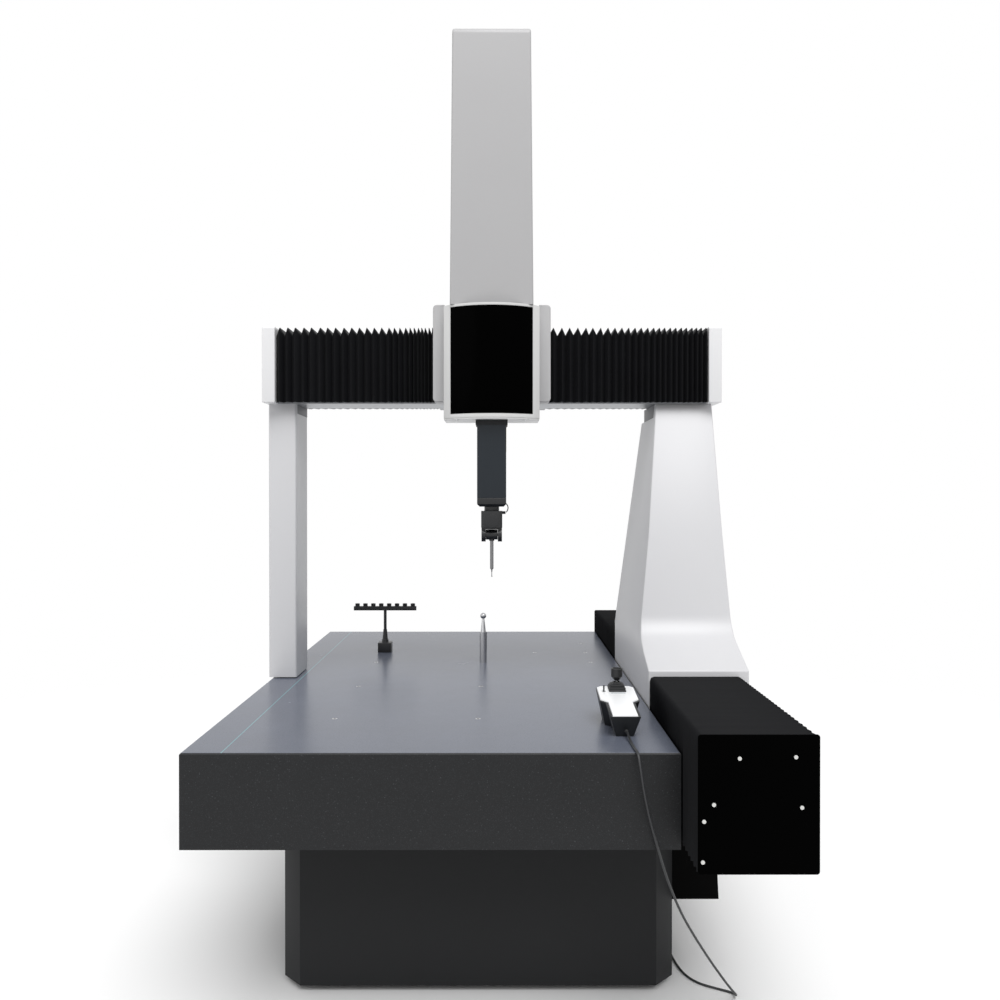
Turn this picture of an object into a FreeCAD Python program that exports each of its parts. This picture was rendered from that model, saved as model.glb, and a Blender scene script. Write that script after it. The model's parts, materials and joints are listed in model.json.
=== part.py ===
"""Bridge coordinate measuring machine, modelled as a parametric FreeCAD document.

Frame: +X to the right of the operator, +Y away from the operator, +Z up, in millimetres.
The origin is on the floor, under the middle of the machine's overall footprint.
Sizes holds the driving dimensions, Places the positions that follow from them.
"""
import FreeCAD, Part
import math
import os
import re

V3 = FreeCAD.Vector

SIZES = {
    # granite table
    "table_height": 850, "slab_left": -834, "slab_width": 1350, "slab_front": -1010,
    "slab_length": 2125, "slab_thickness": 261, "slab_chamfer": 4,
    "insert_radius": 9, "insert_bore_radius": 3.4, "insert_depth": 25, "insert_sink": 0.3,
    "insert_first_x": -484, "insert_step_x": 445, "insert_first_y": -640, "insert_step_y": 465,
    "insert_extra_y": 515,
    # welded base, its feet and the pads under the table
    "base_left": -651, "base_width": 1225, "base_front": -651, "base_length": 1407,
    "base_chamfer": 61, "base_wall": 12, "deck_thickness": 25, "rib_thickness": 12,
    "support_pad_height": 10, "support_pad_radius": 70, "support_pad_inset": 190,
    "foot_height": 24, "foot_disc_radius": 55, "foot_disc_thickness": 11, "foot_stud_radius": 12,
    "foot_plate_size": 130, "foot_plate_thickness": 22, "foot_inset": 150, "thread_clearance": 0.1,
    # side guide of the bridge and its pleated cover
    "cover_half_length": 1193, "cover_left": 520, "cover_width": 304, "cover_rise": 99,
    "cover_drop": 250, "end_plate_thickness": 4, "end_plate_corner": 8,
    "screw_head_radius": 5, "screw_head_height": 2,
    "guide_left": 572, "guide_width": 200, "guide_rise": 40, "guide_drop": 210, "guide_chamfer": 5,
    "console_reach": 133, "console_bottom_width": 149, "console_bottom": 262,
    "console_front": -585, "console_length": 1275, "console_plate": 14,
    "pleat_depth": 26, "pleat_wall": 3, "pleat_uneven": 0.3,
    "y_pleats_front": 26, "y_pleats_rear": 30, "x_pleats": 25,
    "scale_thickness": 1, "scale_width": 15,
    # bridge legs
    "leg_top": 1888, "left_leg_left": -845, "left_leg_width": 105, "left_leg_front": -35,
    "left_leg_depth": 195, "leg_float": 4, "leg_edge_radius": 8,
    "foot_front": -476, "foot_rear": 370, "toe_rise": 115, "shin_front": -260,
    "shin_rise": 210, "toe_radius": 110, "knee_front": -212, "knee_rise": 550,
    "right_leg_top_front": -44, "right_leg_top_rear": 242,
    "right_leg_inner": 518, "right_leg_outer": 850, "right_leg_top_inner": 617,
    "right_leg_top_outer": 828, "inner_slope_rise": 160, "outer_slope_rise": 210,
    "channel_left": 548, "channel_right": 797, "channel_rise": 75,
    "leg_pad_height_left": 35, "leg_pad_height_right": 50, "leg_pad_width": 32, "leg_pad_inset": 20,
    # air bearings
    "bearing_radius": 35, "bearing_thickness": 12, "bearing_stud_radius": 10, "air_gap": 0.3,
    "foot_bearing_recess": 26, "guide_bearing_front": -380, "guide_bearing_rear": 280,
    "guide_bearing_drop": 85,
    # drive unit of the bridge, in the foot of the right leg
    "drive_width": 140, "drive_depth": 140, "drive_height": 170, "drive_roller_radius": 12,
    "drive_room": 8, "x_drive_half_width": 42, "x_drive_depth": 110,
    # cross beam
    "beam_half_length": 807, "beam_front": -45, "beam_depth": 195, "beam_height": 240, "beam_wall": 22,
    "cap_thickness": 48, "cap_corner": 9,
    "x_cover_top": 2169, "x_cover_bottom": 1890, "x_cover_gap": 45,
    # carriage on the beam
    "carriage_half_width": 215, "wing_thickness": 43, "wing_front": -150, "wing_rear": 260,
    "wing_top": 2238, "wing_bottom_front": 1884, "wing_bottom_rear": 1892, "wing_corner": 14,
    "wing_clearance": 16,
    "frame_top": 2222, "frame_plate": 20, "frame_front": -95,
    "bearing_spread": 88, "bearing_margin": 12, "frame_rear": 215, "frame_bottom": 1832,
    "collar_height": 40, "collar_lift": 8, "collar_front": -244, "ram_pad_margin": 2,
    "collar_half_width": 78, "ram_room": 5,
    "bow_front": -270, "front_bulge": 65, "front_back": -110,
    "front_bottom": 1818, "front_wall": 6, "panel_half_width": 147, "panel_bottom": 1832,
    "panel_top": 2213, "panel_thickness": 5, "panel_proud": 1.5, "panel_gap": 0.5,
    "bottom_plate_thickness": 6, "bottom_plate_rear": -80, "wiper_height": 18, "wiper_wall": 3,
    "wiper_gap": 2, "rear_cover_depth": 45, "rear_cover_wall": 4,
    # tower on the carriage
    "tower_top": 3208, "tower_half_width": 149, "tower_top_half_width": 140, "tower_front": -235,
    "tower_rear": 55, "tower_wall": 4, "tower_top_radius": 26, "tower_edge_radius": 7,
    # vertical ram, its counterbalance and drive
    "ram_size": 104, "ram_front": -225, "ram_bottom": 1533, "ram_top": 2850, "ram_wall": 12,
    "ram_cap_height": 31, "ram_cap_chamfer": 9, "ram_lid_height": 20,
    "rod_radius": 10, "rod_clearance": 0.3, "piston_radius": 38, "piston_height": 30,
    "piston_height_above_floor": 2140, "rod_flange_radius": 42, "rod_flange_thickness": 10,
    "z_drive_half_width": 60, "z_drive_rear": 45, "z_drive_height": 108, "z_roller_radius": 9,
    "z_scale_bottom": 1700,
    # motorised head, probe and stylus
    "neck_radius": 27, "neck_height": 16, "head_width": 76, "head_depth": 70, "head_height": 60,
    "head_chamfer": 9, "dial_radius": 25, "dial_thickness": 4, "dial_lift": 0.5,
    "rotor_radius": 34, "rotor_height": 6, "rotor_gap": 0.5,
    "tilt_axis_drop": 86, "cheek_inner": 22, "cheek_outer": 37, "cheek_radius": 25,
    "knuckle_radius": 18, "knuckle_gap": 0.6, "hinge_pin_radius": 5, "pin_clearance": 0.2,
    "probe_radius": 6.4, "probe_length": 107, "probe_nose": 2, "probe_seat_depth": 6,
    "probe_socket_radius": 9.3, "stylus_stem_radius": 1.4, "stylus_ball_radius": 2.5,
    "stylus_length": 29, "stylus_holder_radius": 3.4, "stylus_holder_length": 8,
    "head_cable_radius": 1.8, "head_cable_reach": 7, "head_cable_drop": 34, "head_cable_height": 12,
    "head_plug_length": 12, "head_plug_size": 10,
    # stylus rack
    "rack_x": -478, "rack_y": 540, "rack_base_size": 58, "rack_base_height": 42,
    "rack_ring_radius": 15, "rack_ring_height": 13, "rack_socket_radius": 12,
    "rack_socket_height": 44, "rack_socket_top_radius": 8, "rack_post_radius": 6.5, "rack_post_height": 84,
    "rack_bar_length": 276, "rack_bar_depth": 16, "rack_bar_height": 18, "rack_clips": 8,
    "rack_clip_pitch": 35, "rack_clip_radius": 10, "rack_clip_slot": 9, "rack_clip_height": 12,
    "rack_clip_floor": 2,
    # reference sphere
    "column_radius": 15, "column_height": 126, "sphere_radius": 12.5, "stem_length": 56,
    "stem_low_radius": 11, "stem_high_radius": 5,
    # hand pendant
    "pendant_x": 388, "pendant_front": -862, "pendant_length": 250, "pendant_front_height": 60,
    "pendant_rear_height": 92, "pendant_head_length": 140, "pendant_head_half": 60,
    "pendant_grip_half": 44, "pendant_foot_head_half": 42, "pendant_foot_grip_half": 25,
    "pendant_foot_inset": 16, "pendant_corner": 12, "plate_head_half": 57.5,
    "plate_grip_half": 36.5, "plate_inset": 3,
    "plate_thickness": 4, "joystick_x": 391, "joystick_y": -644, "joystick_hole_radius": 21,
    "joystick_well_depth": 24, "boot_base_half": 26, "boot_top_half": 9, "boot_height": 24,
    "boot_wall": 2, "boot_rim": 4, "pivot_drop": 9, "knob_radius": 17.5, "knob_height": 38,
    "knob_lift": 27, "knob_dish": 3,
    "knob_rim": 4, "knob_foot_radius": 6, "lever_tail": 3, "lever_end_gap": 0.5,
    "lever_radius": 4, "lever_grip": 16, "cross_pin_radius": 1.6, "pivot_clearance": 0.1,
    "trunnion_reach": 25, "trunnion_gap": 0.5, "gimbal_radius": 15, "gimbal_bore": 10, "gimbal_height": 8,
    "trunnion_radius": 2, "toggle_x": 349, "toggle_y": -662, "toggle_radius": 2.6,
    "toggle_height": 16, "toggle_hole_radius": 6, "toggle_depth": 16, "toggle_pivot_drop": 8,
    "toggle_pin_radius": 1.2, "toggle_pin_reach": 9,
    # pendant cord and its ends
    "cord_radius": 3.5, "gland_radius": 7, "gland_length": 20, "cord_exit_height": 16,
    "plug_radius": 11, "plug_length": 46, "plug_y": 575, "plug_height": 110,
    "socket_radius": 17, "socket_length": 14,
}

PLACES = {
    "slab_right": "slab_left + slab_width",
    "slab_rear": "slab_front + slab_length",
    "slab_bottom": "table_height - slab_thickness",
    "base_top": "slab_bottom - support_pad_height",
    "base_right": "base_left + base_width",
    "base_rear": "base_front + base_length",
    "cover_right": "cover_left + cover_width",
    "cover_top": "table_height + cover_rise",
    "cover_bottom": "table_height - cover_drop",
    "guide_right": "guide_left + guide_width",
    "guide_top": "table_height + guide_rise",
    "guide_bottom": "table_height - guide_drop",
    "guide_end": "cover_half_length - end_plate_thickness",
    "guide_middle": "guide_left + guide_width / 2",
    "console_rear": "console_front + console_length",
    "guide_bearing_height": "table_height - guide_bearing_drop",
    "channel_top": "table_height + channel_rise",
    "toe_height": "table_height + toe_rise",
    "shin_height": "table_height + shin_rise",
    "knee_height": "table_height + knee_rise",
    "inner_slope_start": "table_height + inner_slope_rise",
    "outer_slope_start": "table_height + outer_slope_rise",
    "left_leg_right": "left_leg_left + left_leg_width",
    "left_leg_rear": "left_leg_front + left_leg_depth",
    "beam_rear": "beam_front + beam_depth",
    "beam_top": "leg_top + beam_height",
    "x_cover_front": "beam_front - x_cover_gap",
    "x_cover_rear": "beam_rear + x_cover_gap",
    "wing_inner": "carriage_half_width - wing_thickness",
    "ram_rear": "ram_front + ram_size",
    "ram_y": "ram_front + ram_size / 2",
    "ram_half": "ram_size / 2",
    "ram_foot": "ram_bottom - ram_cap_height",
    "head_top": "ram_foot - neck_height",
    "head_bottom": "head_top - head_height",
    "rotor_bottom": "head_bottom - rotor_gap - rotor_height",
    "tilt_height": "head_top - tilt_axis_drop",
    "probe_top": "tilt_height - knuckle_radius + 1",
    "probe_bottom": "probe_top - probe_length",
    "bottom_plate_low": "front_bottom - bottom_plate_thickness",
    "pendant_rear": "pendant_front + pendant_length",
    "pendant_slope": "(pendant_rear_height - pendant_front_height) / pendant_length",
    "joystick_deck": "table_height + pendant_front_height"
                     " + (joystick_y - pendant_front) * pendant_slope + plate_thickness",
    "joystick_pivot": "joystick_deck - pivot_drop",
    "toggle_deck": "table_height + pendant_front_height"
                   " + (toggle_y - pendant_front) * pendant_slope + plate_thickness",
    "toggle_pivot": "toggle_deck - toggle_pivot_drop",
    "console_right": "guide_left + console_reach",
    "sphere_x": "insert_first_x + insert_step_x",
    "sphere_y": "insert_first_y + 2 * insert_step_y",
}

doc = FreeCAD.newDocument("MeasuringMachine")
sheet = doc.addObject("Spreadsheet::Sheet", "Sizes")
places = doc.addObject("App::FeaturePython", "Places")
nodes = []


def bound(formula):
    """Return the formula with each name led back to its sheet cell or its place."""
    def lead(match):
        name = match.group()
        return ("Sizes." if name in SIZES else "Places.") + name
    return re.sub(r"[a-z][a-z_]+", lead, formula)


def fill_sheet():
    """Write the driving sizes into cells with aliases, and derive the places from them."""
    for row, (alias, value) in enumerate(SIZES.items(), start=1):
        sheet.set(f"A{row}", alias)
        sheet.set(f"B{row}", str(value))
        sheet.setAlias(f"B{row}", alias)
    doc.recompute()
    for name, formula in PLACES.items():
        places.addProperty("App::PropertyFloat", name)
        places.setExpression(name, bound(formula))
        doc.recompute()


class Numbers:
    """Plain numbers of all sizes and places, for outlines drawn point by point."""

    def __getattr__(self, name):
        return float(SIZES[name]) if name in SIZES else float(getattr(places, name))


n = Numbers()


# ---------------------------------------------------------------- building blocks

def node(label, thing):
    """Name a finished sub-part."""
    thing.Label = label
    nodes.append(thing)
    return thing


def box(x, y, z, name="Block"):
    """Box between pairs of bound formulas."""
    block = doc.addObject("Part::Box", name)
    for side, axis, (low, high) in zip(("Length", "Width", "Height"), "xyz", (x, y, z)):
        block.setExpression(side, bound(f"({high}) - ({low})"))
        block.setExpression(f".Placement.Base.{axis}", bound(low))
    return block


TURNS = {"z": FreeCAD.Rotation(), "x": FreeCAD.Rotation(V3(0, 1, 0), 90),
         "y": FreeCAD.Rotation(V3(1, 0, 0), -90)}


def turned(thing, start, axis):
    """Stand a round primitive on a bound point, along an axis."""
    thing.Placement = FreeCAD.Placement(V3(), TURNS[axis])
    for letter, formula in zip("xyz", start):
        thing.setExpression(f".Placement.Base.{letter}", bound(formula))
    return thing


def rod(start, radius, length, axis="z", name="Round"):
    """Cylinder from a bound point along an axis."""
    cylinder = doc.addObject("Part::Cylinder", name)
    cylinder.setExpression("Radius", bound(radius))
    cylinder.setExpression("Height", bound(length))
    return turned(cylinder, start, axis)


def cone(start, low_radius, high_radius, length, axis="z", name="Taper"):
    """Cone from a bound point along an axis."""
    taper = doc.addObject("Part::Cone", name)
    taper.setExpression("Radius1", bound(low_radius))
    taper.setExpression("Radius2", bound(high_radius))
    taper.setExpression("Height", bound(length))
    return turned(taper, start, axis)


def ball(centre, radius, name="Ball"):
    """Sphere at a bound point."""
    sphere = doc.addObject("Part::Sphere", name)
    sphere.setExpression("Radius", bound(radius))
    return turned(sphere, centre, "z")


def fuse(*things):
    """Join solids into one."""
    joined = doc.addObject("Part::MultiFuse", "Joined")
    joined.Shapes = list(things)
    return joined


def cut(base, *tools):
    """Take tools away from a solid."""
    pared = doc.addObject("Part::Cut", "Pared")
    pared.Base = base
    pared.Tool = tools[0] if len(tools) == 1 else group(*tools)
    return pared


def group(*things):
    """Keep separate solids together as one set."""
    together = doc.addObject("Part::Compound", "Together")
    together.Links = list(things)
    return together


def shaped(shape, name="Form"):
    """Object for a shape made with Part's own functions."""
    form = doc.addObject("Part::Feature", name)
    form.Shape = shape
    return form


def closed(points):
    """Closed chain of straight edges through the points."""
    return [Part.LineSegment(a, b) for a, b in zip(points, points[1:] + points[:1])]


def draw(body, plane, edges, offset="0"):
    """Sketch on a plane of the body's own origin, moved along the plane's normal."""
    sketch = body.newObject("Sketcher::SketchObject", "Outline")
    support = [item for item in body.Origin.OriginFeatures if item.Role == plane][0]
    sketch.AttachmentSupport = [(support, "")]
    sketch.MapMode = "FlatFace"
    sketch.setExpression(".AttachmentOffset.Base.z", bound(offset))
    sketch.addGeometry(edges, False)
    return sketch


def pad(body, plane, edges, offset, length):
    """Extrude an outline along its plane's normal."""
    feature = body.newObject("PartDesign::Pad", "Pad")
    feature.Profile = draw(body, plane, edges, offset)
    feature.setExpression("Length", bound(length))
    doc.recompute()
    return feature


def pocket(body, plane, edges, offset, length):
    """Cut an outline, against its plane's normal, and make sure that it removes material."""
    before = body.Shape.Volume
    feature = body.newObject("PartDesign::Pocket", "Pocket")
    feature.Profile = draw(body, plane, edges, offset)
    feature.setExpression("Length", bound(length))
    doc.recompute()
    if body.Shape.Volume >= before:
        raise RuntimeError(f"{body.Name}: a pocket removes nothing")
    return feature


def new_body(name):
    """Empty PartDesign body."""
    return doc.addObject("PartDesign::Body", name)


def round_edges(body, radius, chosen):
    """Fillet the body's edges that the test picks."""
    tip = body.Tip
    names = [f"Edge{i}" for i, edge in enumerate(tip.Shape.Edges, start=1) if chosen(edge)]
    feature = body.newObject("PartDesign::Fillet", "Fillet")
    feature.Base = (tip, names)
    feature.setExpression("Radius", bound(radius))
    doc.recompute()
    return feature


def bevel_edges(body, size, chosen):
    """Chamfer the body's edges that the test picks."""
    tip = body.Tip
    names = [f"Edge{i}" for i, edge in enumerate(tip.Shape.Edges, start=1) if chosen(edge)]
    feature = body.newObject("PartDesign::Chamfer", "Chamfer")
    feature.Base = (tip, names)
    feature.setExpression("Size", bound(size))
    doc.recompute()
    return feature


def along(edge, axis):
    """Whether a straight edge runs along x, y or z."""
    if not isinstance(edge.Curve, Part.Line):
        return False
    direction = edge.tangentAt(edge.FirstParameter)
    return abs(getattr(direction, axis)) > 0.999


def near(value, target):
    """Whether two lengths agree."""
    return abs(value - target) < 0.05


def rectangle(x0, y0, x1, y1):
    """Closed rectangle in a sketch plane."""
    return closed([V3(x0, y0), V3(x1, y0), V3(x1, y1), V3(x0, y1)])


def octagon(left, front, right, rear, corner):
    """Closed rectangle with its corners cut at 45 degrees."""
    return closed([V3(left + corner, front), V3(right - corner, front), V3(right, front + corner),
                   V3(right, rear - corner), V3(right - corner, rear), V3(left + corner, rear),
                   V3(left, rear - corner), V3(left, front + corner)])


def circle(x, y, radius):
    """Full circle in a sketch plane."""
    return Part.Circle(V3(x, y), V3(0, 0, 1), radius)


# ---------------------------------------------------------------- base and table

def foot_spots():
    """Floor positions of the four levelling feet."""
    inset = n.foot_inset
    return [(x, y) for x in (n.base_left + inset, n.base_right - inset)
            for y in (n.base_front + inset, n.base_rear - inset)]


def make_base():
    """Welded cabinet, open below, with a deck, cross ribs and plates for the feet."""
    body = new_body("BaseCabinet")
    wall = n.base_wall
    pad(body, "XY_Plane", octagon(n.base_left, n.base_front, n.base_right, n.base_rear,
                                  n.base_chamfer), "foot_height", "base_top - foot_height")
    pocket(body, "XY_Plane", octagon(n.base_left + wall, n.base_front + wall, n.base_right - wall,
                                     n.base_rear - wall, n.base_chamfer),
           "base_top - deck_thickness", "base_top - deck_thickness - foot_height")
    middle_x = (n.base_left + n.base_right) / 2
    middle_y = (n.base_front + n.base_rear) / 2
    half = n.rib_thickness / 2
    pad(body, "XY_Plane", rectangle(n.base_left + 1, middle_y - half, n.base_right - 1,
                                    middle_y + half),
        "foot_height + foot_plate_thickness", "base_top - foot_height - foot_plate_thickness - 1")
    pad(body, "XY_Plane", rectangle(middle_x - half, n.base_front + 1, middle_x + half,
                                    n.base_rear - 1),
        "foot_height + foot_plate_thickness", "base_top - foot_height - foot_plate_thickness - 1")
    plates = []
    for x, y in foot_spots():
        out_x = n.base_left + 1 if x < middle_x else n.base_right - 1
        reach = x + math.copysign(n.foot_plate_size / 2, middle_x - x)
        size = n.foot_plate_size / 2
        plates += rectangle(min(out_x, reach), y - size, max(out_x, reach), y + size)
    pad(body, "XY_Plane", plates, "foot_height", "foot_plate_thickness")
    holes = [circle(x, y, n.foot_stud_radius + n.thread_clearance) for x, y in foot_spots()]
    pocket(body, "XY_Plane", holes, "foot_height + foot_plate_thickness",
           "foot_plate_thickness")
    return node("base_cabinet", body)


def make_feet():
    """Levelling feet: disc, stud and lock nut."""
    feet = []
    for x, y in foot_spots():
        at = (str(x), str(y))
        disc = rod((*at, "0"), "foot_disc_radius", "foot_disc_thickness")
        stud = rod((*at, "foot_disc_thickness - 1"), "foot_stud_radius", "foot_height * 2 + 1")
        nut = doc.addObject("Part::Prism", "Nut")
        nut.Polygon = 6
        nut.setExpression("Circumradius", bound("foot_stud_radius * 1.8"))
        nut.setExpression("Height", bound("foot_height - foot_disc_thickness"))
        turned(nut, (*at, "foot_disc_thickness"), "z")
        feet.append(fuse(disc, stud, nut))
    return node("levelling_feet", group(*feet))


def make_support_pads():
    """Three pads that carry the granite on the deck."""
    inset = "support_pad_inset"
    spots = [(f"base_left + {inset}", f"base_front + {inset}"),
             (f"base_right - {inset}", f"base_front + {inset}"),
             ("base_left + base_width / 2", f"base_rear - {inset}")]
    pads = [rod((x, y, "base_top"), "support_pad_radius", "support_pad_height") for x, y in spots]
    return node("table_support_pads", group(*pads))


def insert_spots():
    """Positions of the threaded inserts: a grid, and a short row beside the rack."""
    columns = [n.insert_first_x + i * n.insert_step_x for i in range(3)]
    rows = [n.insert_first_y + i * n.insert_step_y for i in range(4)]
    spots = [(x, y) for y in rows for x in columns]
    return spots + [(columns[2] - n.insert_step_x / 2, n.insert_extra_y),
                    (columns[2], n.insert_extra_y)]


def make_table():
    """Granite slab with bevelled upper edges and a bore for each insert."""
    body = new_body("GraniteTable")
    pad(body, "XY_Plane", rectangle(n.slab_left, n.slab_front, n.slab_right, n.slab_rear),
        "slab_bottom", "slab_thickness")
    pocket(body, "XY_Plane", [circle(x, y, n.insert_radius) for x, y in insert_spots()],
           "table_height", "insert_depth")
    bevel_edges(body, "slab_chamfer", lambda edge: isinstance(edge.Curve, Part.Line)
                and near(edge.CenterOfMass.z, n.table_height))
    return node("granite_table", body)


def make_inserts():
    """Threaded steel inserts, sunk slightly below the working face."""
    inserts = []
    for x, y in insert_spots():
        start = (str(x), str(y), "table_height - insert_depth")
        bush = rod(start, "insert_radius", "insert_depth - insert_sink")
        bore = rod(start, "insert_bore_radius", "insert_depth")
        inserts.append(cut(bush, bore))
    return node("table_inserts", group(*inserts))


# ---------------------------------------------------------------- side guide of the bridge

def make_guide():
    """Guide beam with bevelled edges, its scale, and the console that carries it."""
    body = new_body("GuideBeam")
    pad(body, "XZ_Plane", rectangle(n.guide_left, n.guide_bottom, n.guide_right, n.guide_top),
        "-guide_end", "2 * guide_end")
    bevel_edges(body, "guide_chamfer", lambda edge: along(edge, "y"))
    node("y_guide_beam", body)
    scale = box(("guide_right", "guide_right + scale_thickness"), ("-guide_end", "guide_end"),
                ("guide_top - 2 * scale_width", "guide_top - scale_width"))
    node("y_scale", scale)
    make_console()


def make_console():
    """Tapered welded box on the side of the base, open below, under the guide beam."""
    low, shelf, high = n.console_bottom, n.slab_bottom, n.guide_bottom
    left, foot_right = n.base_right, n.base_right + n.console_bottom_width
    plate = n.console_plate
    body = new_body("Console")
    outer = closed([V3(left, low), V3(foot_right, low), V3(n.console_right, high),
                    V3(n.guide_left, high), V3(n.guide_left, shelf), V3(left, shelf)])
    inner = closed([V3(left + plate, low), V3(foot_right - plate, low),
                    V3(n.console_right - plate, high - plate),
                    V3(n.guide_left + plate, high - plate),
                    V3(n.guide_left + plate, shelf - plate), V3(left + plate, shelf - plate)])
    pad(body, "XZ_Plane", outer, "-console_rear", "console_length")
    pocket(body, "XZ_Plane", inner, "-(console_front + console_plate)",
           "console_length - 2 * console_plate")
    return node("guide_console", body)


def pleated(start, end, count, uneven, edge_low, edge_high, top, bottom, frame):
    """Folded cover of inverted U section between two stations, one ridge to each pleat.

    frame turns a section point and a station into a point in space."""
    wires = []
    steps = 2 * count
    for i in range(steps + 1):
        part = i / steps
        station = start + (end - start) * (part + uneven * (part - part * part))
        inset = 0 if i % 2 else n.pleat_depth
        a, b, c = edge_low + inset, edge_high - inset, top - inset
        wall = n.pleat_wall
        section = [(a, bottom), (a, c), (b, c), (b, bottom), (b - wall, bottom),
                   (b - wall, c - wall), (a + wall, c - wall), (a + wall, bottom)]
        points = [frame(across, up, station) for across, up in section]
        wires.append(Part.makePolygon(points + points[:1]))
    return Part.makeLoft(wires, True, True)


def make_y_cover():
    """End plates and the two pleated covers before and behind the bridge's foot."""
    plates = []
    for far_end in ("guide_end", "-cover_half_length"):
        body = new_body("EndPlate")
        pad(body, "XZ_Plane", rectangle(n.cover_left, n.cover_bottom, n.cover_right, n.cover_top),
            f"-({far_end} + end_plate_thickness)", "end_plate_thickness")
        round_edges(body, "end_plate_corner", lambda edge: along(edge, "y"))
        plates.append(body)
    node("y_cover_end_plates", group(*plates))
    make_plate_screws()

    def frame(across, up, station):
        return V3(across, station, up)
    section = (n.cover_left, n.cover_right, n.cover_top, n.cover_bottom, frame)
    front = pleated(-n.guide_end, n.foot_front, int(n.y_pleats_front), -n.pleat_uneven, *section)
    rear = pleated(n.foot_rear, n.guide_end, int(n.y_pleats_rear), n.pleat_uneven, *section)
    node("y_bellows_front", shaped(front))
    node("y_bellows_rear", shaped(rear))


def make_plate_screws():
    """Low button heads of the screws that hold the end plates."""
    spots = [(0.34, 0.83), (0.80, 0.84), (0.13, 0.50), (0.85, 0.48), (0.05, 0.38), (0.04, 0.09)]
    heads = []
    for across, up in spots:
        x = f"cover_left + {across} * cover_width"
        z = f"cover_bottom + {up} * (cover_top - cover_bottom)"
        for start in ("-cover_half_length - screw_head_height", "cover_half_length"):
            heads.append(rod((x, start, z), "screw_head_radius", "screw_head_height", "y"))
    return node("cover_plate_screws", group(*heads))


# ---------------------------------------------------------------- bridge

def make_left_leg():
    """Upright with a recess under its foot and a notch for the levelling pad at its head."""
    body = new_body("LeftLeg")
    pad(body, "XY_Plane", rectangle(n.left_leg_left, n.left_leg_front, n.left_leg_right,
                                    n.left_leg_rear),
        "table_height + leg_float", "leg_top - table_height - leg_float")
    round_edges(body, "leg_edge_radius", lambda edge: along(edge, "z"))
    middle = V3(n.left_leg_left + n.left_leg_width / 2, n.left_leg_front + n.left_leg_depth / 2)
    room = n.bearing_radius + n.drive_room
    pocket(body, "XY_Plane", [circle(middle.x, middle.y, room)],
           "table_height + leg_float + foot_bearing_recess", "foot_bearing_recess")
    pocket(body, "XY_Plane",
           rectangle(n.left_leg_right - n.leg_pad_width, n.left_leg_front + n.leg_pad_inset,
                     n.left_leg_right + 1, n.left_leg_rear + 1),
           "leg_top", "leg_pad_height_left")
    return node("left_leg", body)


def leg_profile():
    """Side outline of the right leg: long foot, swept toe, shin and a leaning upper part."""
    toe = V3(n.foot_front, n.toe_height)
    shin = V3(n.shin_front, n.shin_height)
    knee = V3(n.knee_front, n.knee_height)
    head_front = V3(n.right_leg_top_front, n.leg_top)
    head_rear = V3(n.right_leg_top_rear, n.leg_top)
    calf = V3(n.foot_rear, n.shin_height)
    low_rear = V3(n.foot_rear, n.cover_bottom)
    low_front = V3(n.foot_front, n.cover_bottom)
    into = (toe - shin).normalize()
    out = (knee - shin).normalize()
    half_turn = (math.pi - into.getAngle(out)) / 2
    reach = n.toe_radius * math.tan(half_turn)
    first = shin + into * reach
    last = shin + out * reach
    middle_way = (into + out).normalize()
    centre = shin + middle_way * (n.toe_radius / math.cos(half_turn))
    crown = centre - middle_way * n.toe_radius
    return [Part.LineSegment(low_front, toe), Part.LineSegment(toe, first),
            Part.Arc(first, crown, last), Part.LineSegment(last, knee),
            Part.LineSegment(knee, head_front), Part.LineSegment(head_front, head_rear),
            Part.LineSegment(head_rear, calf), Part.LineSegment(calf, low_rear),
            Part.LineSegment(low_rear, low_front)]


def make_right_leg():
    """Swept leg over the side guide: side outline, sloped flanks, guide channel, drive room."""
    body = new_body("RightLeg")
    pad(body, "YZ_Plane", leg_profile(), "right_leg_inner", "right_leg_outer - right_leg_inner")
    inner = closed([V3(n.right_leg_inner - 1, n.inner_slope_start),
                    V3(n.right_leg_inner, n.inner_slope_start),
                    V3(n.right_leg_top_inner, n.leg_top), V3(n.right_leg_top_inner, n.leg_top + 1),
                    V3(n.right_leg_inner - 1, n.leg_top + 1)])
    outer = closed([V3(n.right_leg_outer + 1, n.outer_slope_start),
                    V3(n.right_leg_outer, n.outer_slope_start),
                    V3(n.right_leg_top_outer, n.knee_height),
                    V3(n.right_leg_top_outer, n.leg_top + 1),
                    V3(n.right_leg_outer + 1, n.leg_top + 1)])
    channel = rectangle(n.channel_left, n.cover_bottom - 1, n.channel_right, n.channel_top)
    for outline in (inner, outer, channel):
        pocket(body, "XZ_Plane", outline, "-(foot_front - 1)", "foot_rear - foot_front + 2")
    half_width = n.drive_width / 2 + n.drive_room
    half_depth = n.drive_depth / 2 + n.drive_room
    pocket(body, "XY_Plane", rectangle(n.guide_middle - half_width, -half_depth,
                                       n.guide_middle + half_width, half_depth),
           "channel_top + drive_height", "drive_height")
    pocket(body, "XY_Plane", rectangle(n.right_leg_inner, n.right_leg_top_front + n.leg_pad_inset,
                                       n.right_leg_top_inner + n.leg_pad_width,
                                       n.right_leg_top_rear + n.leg_pad_inset),
           "leg_top", "leg_pad_height_right")
    return node("right_leg", body)


def make_leg_pads():
    """Dark levelling pads between the heads of the legs and the beam."""
    left = box(("left_leg_right - leg_pad_width", "left_leg_right"),
               ("left_leg_front + leg_pad_inset", "left_leg_rear"),
               ("leg_top - leg_pad_height_left", "leg_top"))
    right = box(("right_leg_top_inner", "right_leg_top_inner + leg_pad_width"),
                ("right_leg_top_front + leg_pad_inset", "right_leg_top_rear - leg_pad_inset"),
                ("leg_top - leg_pad_height_right", "leg_top"))
    return node("leg_top_pads", group(left, right))


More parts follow.
